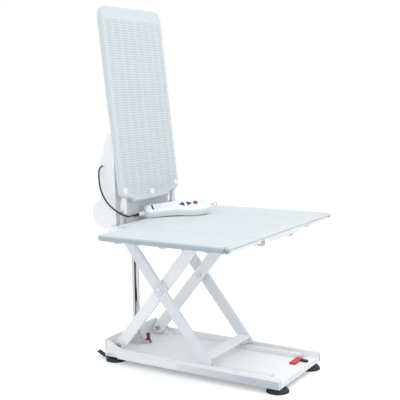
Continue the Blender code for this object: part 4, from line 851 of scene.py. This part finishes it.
# Stitching: a row of thread along the sides and top of the back cover and one on its
# turned-over hem, set out by a node tree that follows a line.  The tree's second form
# works from marked points.
def set_out_tree(name, along):
    tree = bpy.data.node_groups.new(name, "GeometryNodeTree")
    kinds = (("Places", "NodeSocketGeometry"), ("Item", "NodeSocketObject"), ("Spacing", "NodeSocketFloat"),
             ("Finish", "NodeSocketMaterial"))
    for label, kind in kinds:
        tree.interface.new_socket(label, in_out="INPUT", socket_type=kind)
    tree.interface.new_socket("Geometry", in_out="OUTPUT", socket_type="NodeSocketGeometry")
    book = NodeBook(tree)
    start = tree.nodes.new("NodeGroupInput")
    places, item, spacing, finish = [Value(book, start.outputs[k]) for k in range(4)]
    if along:
        line = book.node("GeometryNodeMeshToCurve", {}, {"Mesh": places})
        points = book.node("GeometryNodeCurveToPoints", {"mode": "LENGTH"},
                           {"Curve": line, "Length": spacing}, "Points")
        turn = Value(book, points.socket.node.outputs["Rotation"])
    else:
        points = book.node("GeometryNodeMeshToPoints", {}, {"Mesh": places})
        turn = book.node("GeometryNodeInputNamedAttribute", {"data_type": "FLOAT_VECTOR"}, {"Name": "turn"},
                         "Attribute")
    item = book.node("GeometryNodeObjectInfo", {}, {"Object": item}, "Geometry")
    placed = book.node("GeometryNodeInstanceOnPoints", {},
                       {"Points": points, "Instance": item, "Rotation": turn})
    whole = book.node("GeometryNodeRealizeInstances", {}, {"Geometry": placed})
    dressed = book.node("GeometryNodeSetMaterial", {}, {"Geometry": whole, "Material": finish})
    book.node("NodeGroupOutput", {}, {0: dressed}, None)
    return tree


def set_out(name, tree, places, item, finish, faces_way=(), edges=(), spacing=0.01):
    mesh = bpy.data.meshes.new(name + "_places")
    mesh.from_pydata([tuple(at) for at in places], edges, [])
    if faces_way:
        marks = mesh.attributes.new("turn", "FLOAT_VECTOR", "POINT")
        turns = [Vector(way).to_track_quat("Z", "Y").to_euler() for way in faces_way]
        marks.data.foreach_set("vector", [angle for turn in turns for angle in turn])
    carrier = bpy.data.objects.new(name + "_places", mesh)
    scene.collection.objects.link(carrier)
    step = carrier.modifiers.new("set_out", "NODES")
    step.node_group = tree
    inputs = [socket for socket in tree.interface.items_tree if socket.in_out == "INPUT"]
    labels = {socket.name: socket.identifier for socket in inputs}
    for label, value in (("Item", item), ("Spacing", spacing), ("Finish", finish.material)):
        step[labels[label]] = value
    graph = bpy.context.evaluated_depsgraph_get()
    made = bpy.data.meshes.new_from_object(carrier.evaluated_get(graph))
    bpy.data.objects.remove(carrier)
    bpy.data.objects.remove(item)
    piece = bpy.data.objects.new(name, made)
    scene.collection.objects.link(piece)
    return piece


along_line, at_points = set_out_tree("along_line", True), set_out_tree("at_points", False)
thread = Finish("sewing_thread").mottled((0.80, 0.83, 0.85), (0.88, 0.90, 0.91), cloud=(900.0,),
                                         rough=(0.7, 0.2, 500.0), grain=(2500.0, 2.0, 0.00005))
STITCH_LONG, STITCH_PITCH, STITCH_RADII = 0.0032, 0.0046, (0.0001, 0.00035, 0.00042, 0.00035, 0.0001)
HEM, HEM_LOW, REAR_HEM, REAR_HEM_LOW, HEM_STEP = 0.0085, 0.085, 0.0165, TURNED_FROM + 0.030, 0.006


def hem_path(inset, low):
    # up one side of the back, over the top and down the other side
    half, top, bend = BACK_HALF - inset, BACK_TOP - inset, BACK_CORNER - inset
    rise = list(np.arange(low, top - bend, HEM_STEP))
    path = [(-half, v) for v in rise] + arc((bend - half, top - bend), bend, 180, 90, 8)
    path += [(u, top) for u in np.arange(bend - half + HEM_STEP, half - bend, HEM_STEP)]
    return path + arc((half - bend, top - bend), bend, 90, 0, 8) + [(half, v) for v in rise[::-1]]


hem, rear_hem = hem_path(HEM, HEM_LOW), hem_path(REAR_HEM, REAR_HEM_LOW)
hem_high = BACK_FACE + back_crown(np.array(hem), np.full(len(hem), HEM))
hem_line = [back_place @ Vector((u, v, h)) for (u, v), h in zip(hem, hem_high)]
hem_line += [back_place @ Vector((u, v, PANEL_REAR - CLOTH)) for u, v in rear_hem]
hem_edges = [(k, k + 1) for k in range(len(hem_line) - 1) if k != len(hem) - 1]
stitch_line = [Vector((0, 0, share * STITCH_LONG)) for share in np.linspace(-0.5, 0.5, len(STITCH_RADII))]
stitch = tube("stitch", stitch_line, STITCH_RADII, 6, thread, Vector((1, 0, 0)))
stitches = set_out("back_stitches", along_line, hem_line, stitch, thread, edges=hem_edges,
                   spacing=STITCH_PITCH)
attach(stitches, "back")


# Cover toggles: small grey moulded buttons under the outer edge of each flap that hold
# the turned-under cover to the plate.
def block(name, size, edge):
    bm = bmesh.new()
    bmesh.ops.create_cube(bm, size=1.0, matrix=Matrix.Diagonal((*size, 1)))
    bmesh.ops.bevel(bm, geom=bm.edges[:], offset=edge, segments=2, affect="EDGES", profile=0.5)
    return piece_from(name, bm)


TOGGLES_Y, TOGGLE_SIZE, TOGGLE_EDGE = (0.0808, -0.0719, -0.2215), (0.0080, 0.0190, 0.0052), 0.0016
TOGGLE_IN, TOGGLE_DOWN = 0.0062, 0.0012
for side, turn in SIDES:
    spots = [Vector((turn * (flap_high.x - TOGGLE_IN), y, flap_low.z - TOGGLE_DOWN)) for y in TOGGLES_Y]
    toggles = set_out("toggles_" + side, at_points, spots, block("toggle", TOGGLE_SIZE, TOGGLE_EDGE),
                      grey_moulding, [(0, 0, 1)] * len(spots))
    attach(toggles, "flap_" + side)


# Screws: steel pan heads, two on the inner face of the tray's rear wall, one on the tube's
# shoe and four on the back of the drive housing.  A ray that meets no face sets no screw.
def turned_item(name, profile, sides=18, ring=False):
    # a turned piece from its half profile of radius and height, shut or hollow like a ring
    bm = bmesh.new()
    hoops = [[bm.verts.new((radius * cos(t), radius * sin(t), height))
              for t in np.linspace(0, 2 * pi, sides, endpoint=False)] for radius, height in profile]
    for a, b in zip(hoops, hoops[1:] + (hoops[:1] if ring else [])):
        for k in range(sides):
            bm.faces.new((a[k - 1], a[k], b[k], b[k - 1]))
    if not ring:
        bm.faces.new(hoops[0][::-1])
        bm.faces.new(hoops[-1])
    bmesh.ops.recalc_face_normals(bm, faces=bm.faces)
    return piece_from(name, bm)


def face_at(node, start, way):
    mesh = nodes[node].data
    faces = [tuple(face.vertices) for face in mesh.polygons]
    surface = BVHTree.FromPolygons([v.co for v in mesh.vertices], faces)
    return surface.ray_cast(Vector(start), Vector(way))[0]


SCREW = ((0.0034, 0.0), (0.0034, 0.0007), (0.0028, 0.0014), (0.0014, 0.0015), (0.0013, 0.0008))
HOUSING_SCREWS_Z = (0.56, 0.67)
base_spots = [("base_tray", (side * 0.1364, -0.60, 0.0360), (0, 1, 0)) for side in (-1, 1)]
base_spots.append(("rod_shoe", (0.0155, 0.2330, 0.20), (0, 0, -1)))
seat_spots = [("drive_housing", (side * 0.128, 0.60, z), (0, -1, 0))
              for side in (-1, 1) for z in HOUSING_SCREWS_Z]
for name, body, spots in (("base_screws", "base", base_spots), ("housing_screws", "seat", seat_spots)):
    found = [(face_at(*spot), -Vector(spot[2])) for spot in spots]
    found = [(at, way) for at, way in found if at]
    screws = set_out(name, at_points, [at for at, _ in found], turned_item("screw", SCREW), turned_steel,
                     [way for _, way in found])
    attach(screws, body)

# Pivot bosses: a raised ring round each middle pivot on the outer face of the leg,
# under the same powder coat.
BOSS = ((0.0108, 0.0), (0.0176, 0.0), (0.0183, 0.0007), (0.0183, 0.0016), (0.0176, 0.0023), (0.0116, 0.0023),
        (0.0108, 0.0016))
BOSS_SIDES, BESIDE_PIVOT = 32, 0.0150
middle = sum(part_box("mid_pivot_right"), Vector()) / 2
places, ways = [], []
for side, turn in reversed(SIDES):
    leg_face = face_at("outer_leg_" + side, (turn * 0.5, middle.y, middle.z + BESIDE_PIVOT), (-turn, 0, 0))
    places.append(Vector((leg_face.x, middle.y, middle.z)))
    ways.append((turn, 0, 0))
boss = turned_item("boss", BOSS, BOSS_SIDES, True)
# the bosses share the outer legs' coat and its painted shade
bosses = set_out("pivot_bosses", at_points, places, boss, shade_painted_coat, ways)
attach(bosses, "outer_legs")

# Side skirts: plastic strips clipped along the front half of the tray's sides.  Their
# blue-grey colour, fading paler toward the back, is painted shade.
tray_low, tray_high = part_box("base_tray")
SKIRT_Y, SKIRT_Z = (tray_low.y + 0.0020, 0.0147), (tray_low.z + 0.0012, tray_low.z + 0.0225)
SKIRT_OUT, SKIRT_GAP, SKIRT_EDGE, SHADE_FADE_REACH = 0.0012, 0.0001, 0.0004, 0.26
painted_side_shade = Finish("painted_side_shade")
# painted shade: blue-grey at the front of the tray's side, fading paler toward the back
forward = SKIRT_Y[1] - painted_side_shade.node("ShaderNodeSeparateXYZ", {}, {"Vector": painted_side_shade.place}, "Y")
front_shade = painted_side_shade.mix(painted_side_shade.noise(20.0, 3.0), colour(0.48, 0.51, 0.55), colour(0.54, 0.57, 0.61))
shade_fade = painted_side_shade.ramp(forward, 0.0, SHADE_FADE_REACH)
painted_side_shade.set("Base Color", painted_side_shade.mix(shade_fade, colour(0.80, 0.82, 0.845), front_shade))
painted_side_shade.set("Roughness", 0.38 + 0.16 * painted_side_shade.noise(60.0))
painted_side_shade.relief(painted_side_shade.noise(1000.0), 0.00005, 0.0005)
skirt = block("skirt", (SKIRT_OUT, SKIRT_Y[1] - SKIRT_Y[0], SKIRT_Z[1] - SKIRT_Z[0]), SKIRT_EDGE)
skirt_x = tray_high.x + 0.5 * SKIRT_OUT + SKIRT_GAP
skirt_spots = [Vector((side * skirt_x, sum(SKIRT_Y) / 2, sum(SKIRT_Z) / 2)) for side in (-1, 1)]
shade_strips = set_out("side_skirts", at_points, skirt_spots, skirt, painted_side_shade, [(0, 0, 1)] * len(skirt_spots))
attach(shade_strips, "base")

# Signal lamp and hanging ring of the hand control: a small red lens by the stop key and
# a steel wire ring through the eye at the tip.
lens = Finish("signal_lens", Coat_Weight=0.5).mottled(
    (0.40, 0.020, 0.024), (0.52, 0.035, 0.035), cloud=(500.0,), rough=(0.12, 0.1, 300.0))
LENS = ((0.0019, 0.0), (0.0019, 0.0003), (0.0015, 0.0008), (0.0008, 0.0011), (0.0002, 0.0012))
LAMP_ALONG, EYE_ALONG, EYE_HIGH = 0.1995, 0.2385, 0.0100
RING_RADIUS, RING_WIRE, RING_STEPS = 0.0085, 0.0009, 36
signal = set_out("signal_lamp", at_points, [hand_place @ Vector((LAMP_ALONG, 0, HAND_HEIGHT))],
                 turned_item("lens", LENS, 14), lens, [hand_up])
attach(signal, "seat")
ring_turns = np.linspace(0, 2 * pi, RING_STEPS, endpoint=False)
ring_line = [hand_place @ Vector((EYE_ALONG + RING_RADIUS * (1 - cos(t)), 0, EYE_HIGH + RING_RADIUS * sin(t)))
             for t in ring_turns]
hang_ring = tube("hang_ring", ring_line, [RING_WIRE] * RING_STEPS, 8, turned_steel, hand_across, True)
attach(hang_ring, "seat")

# Bare plate on the hand control's handle: a thin film, left without words, with a plain
# blue band beside its end.
PLATE_THICK, PLATE_EDGE = 0.0008, 0.0003
PLATES = (
    ("bare_plate", "plate_film", 0.0650, (0.0560, 0.0240),
     (0.70, 0.735, 0.80), (0.75, 0.78, 0.835), (60.0, 3.0)),
    ("plate_band", "plate_band", 0.0270, (0.0064, 0.0250),
     (0.030, 0.034, 0.20), (0.045, 0.050, 0.25), (90.0,)))
for name, look, along, size, deep, light, cloud in PLATES:
    film = Finish(look).mottled(deep, light, cloud, rough=(0.24, 0.12, 200.0), grain=(1500.0, 2.0, 0.00002))
    plate = block(name, (*size, PLATE_THICK), PLATE_EDGE)
    plate.data.transform(hand_place @ Matrix.Translation((along, 0, HAND_HEIGHT)))
    plate.data.materials.append(film.material)
    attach(plate, "seat")

# Stud caps: three low round caps of white plastic at the cover's foot, pressed over the
# back panel's studs to hold the cover.
CAP = ((0.0098, -0.0012), (0.0100, 0.0004), (0.0094, 0.0013), (0.0070, 0.0020), (0.0030, 0.0023),
       (0.0004, 0.0023))
CAP_LIFT, CAP_SIDES = 0.0006, 28
cap_spots = [back_place @ Vector((u, v, BACK_FACE + CAP_LIFT)) for u, v in STUDS]
caps = set_out("stud_caps", at_points, cap_spots, turned_item("cap", CAP, CAP_SIDES), moulding,
               [back_out] * len(STUDS))
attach(caps, "back")
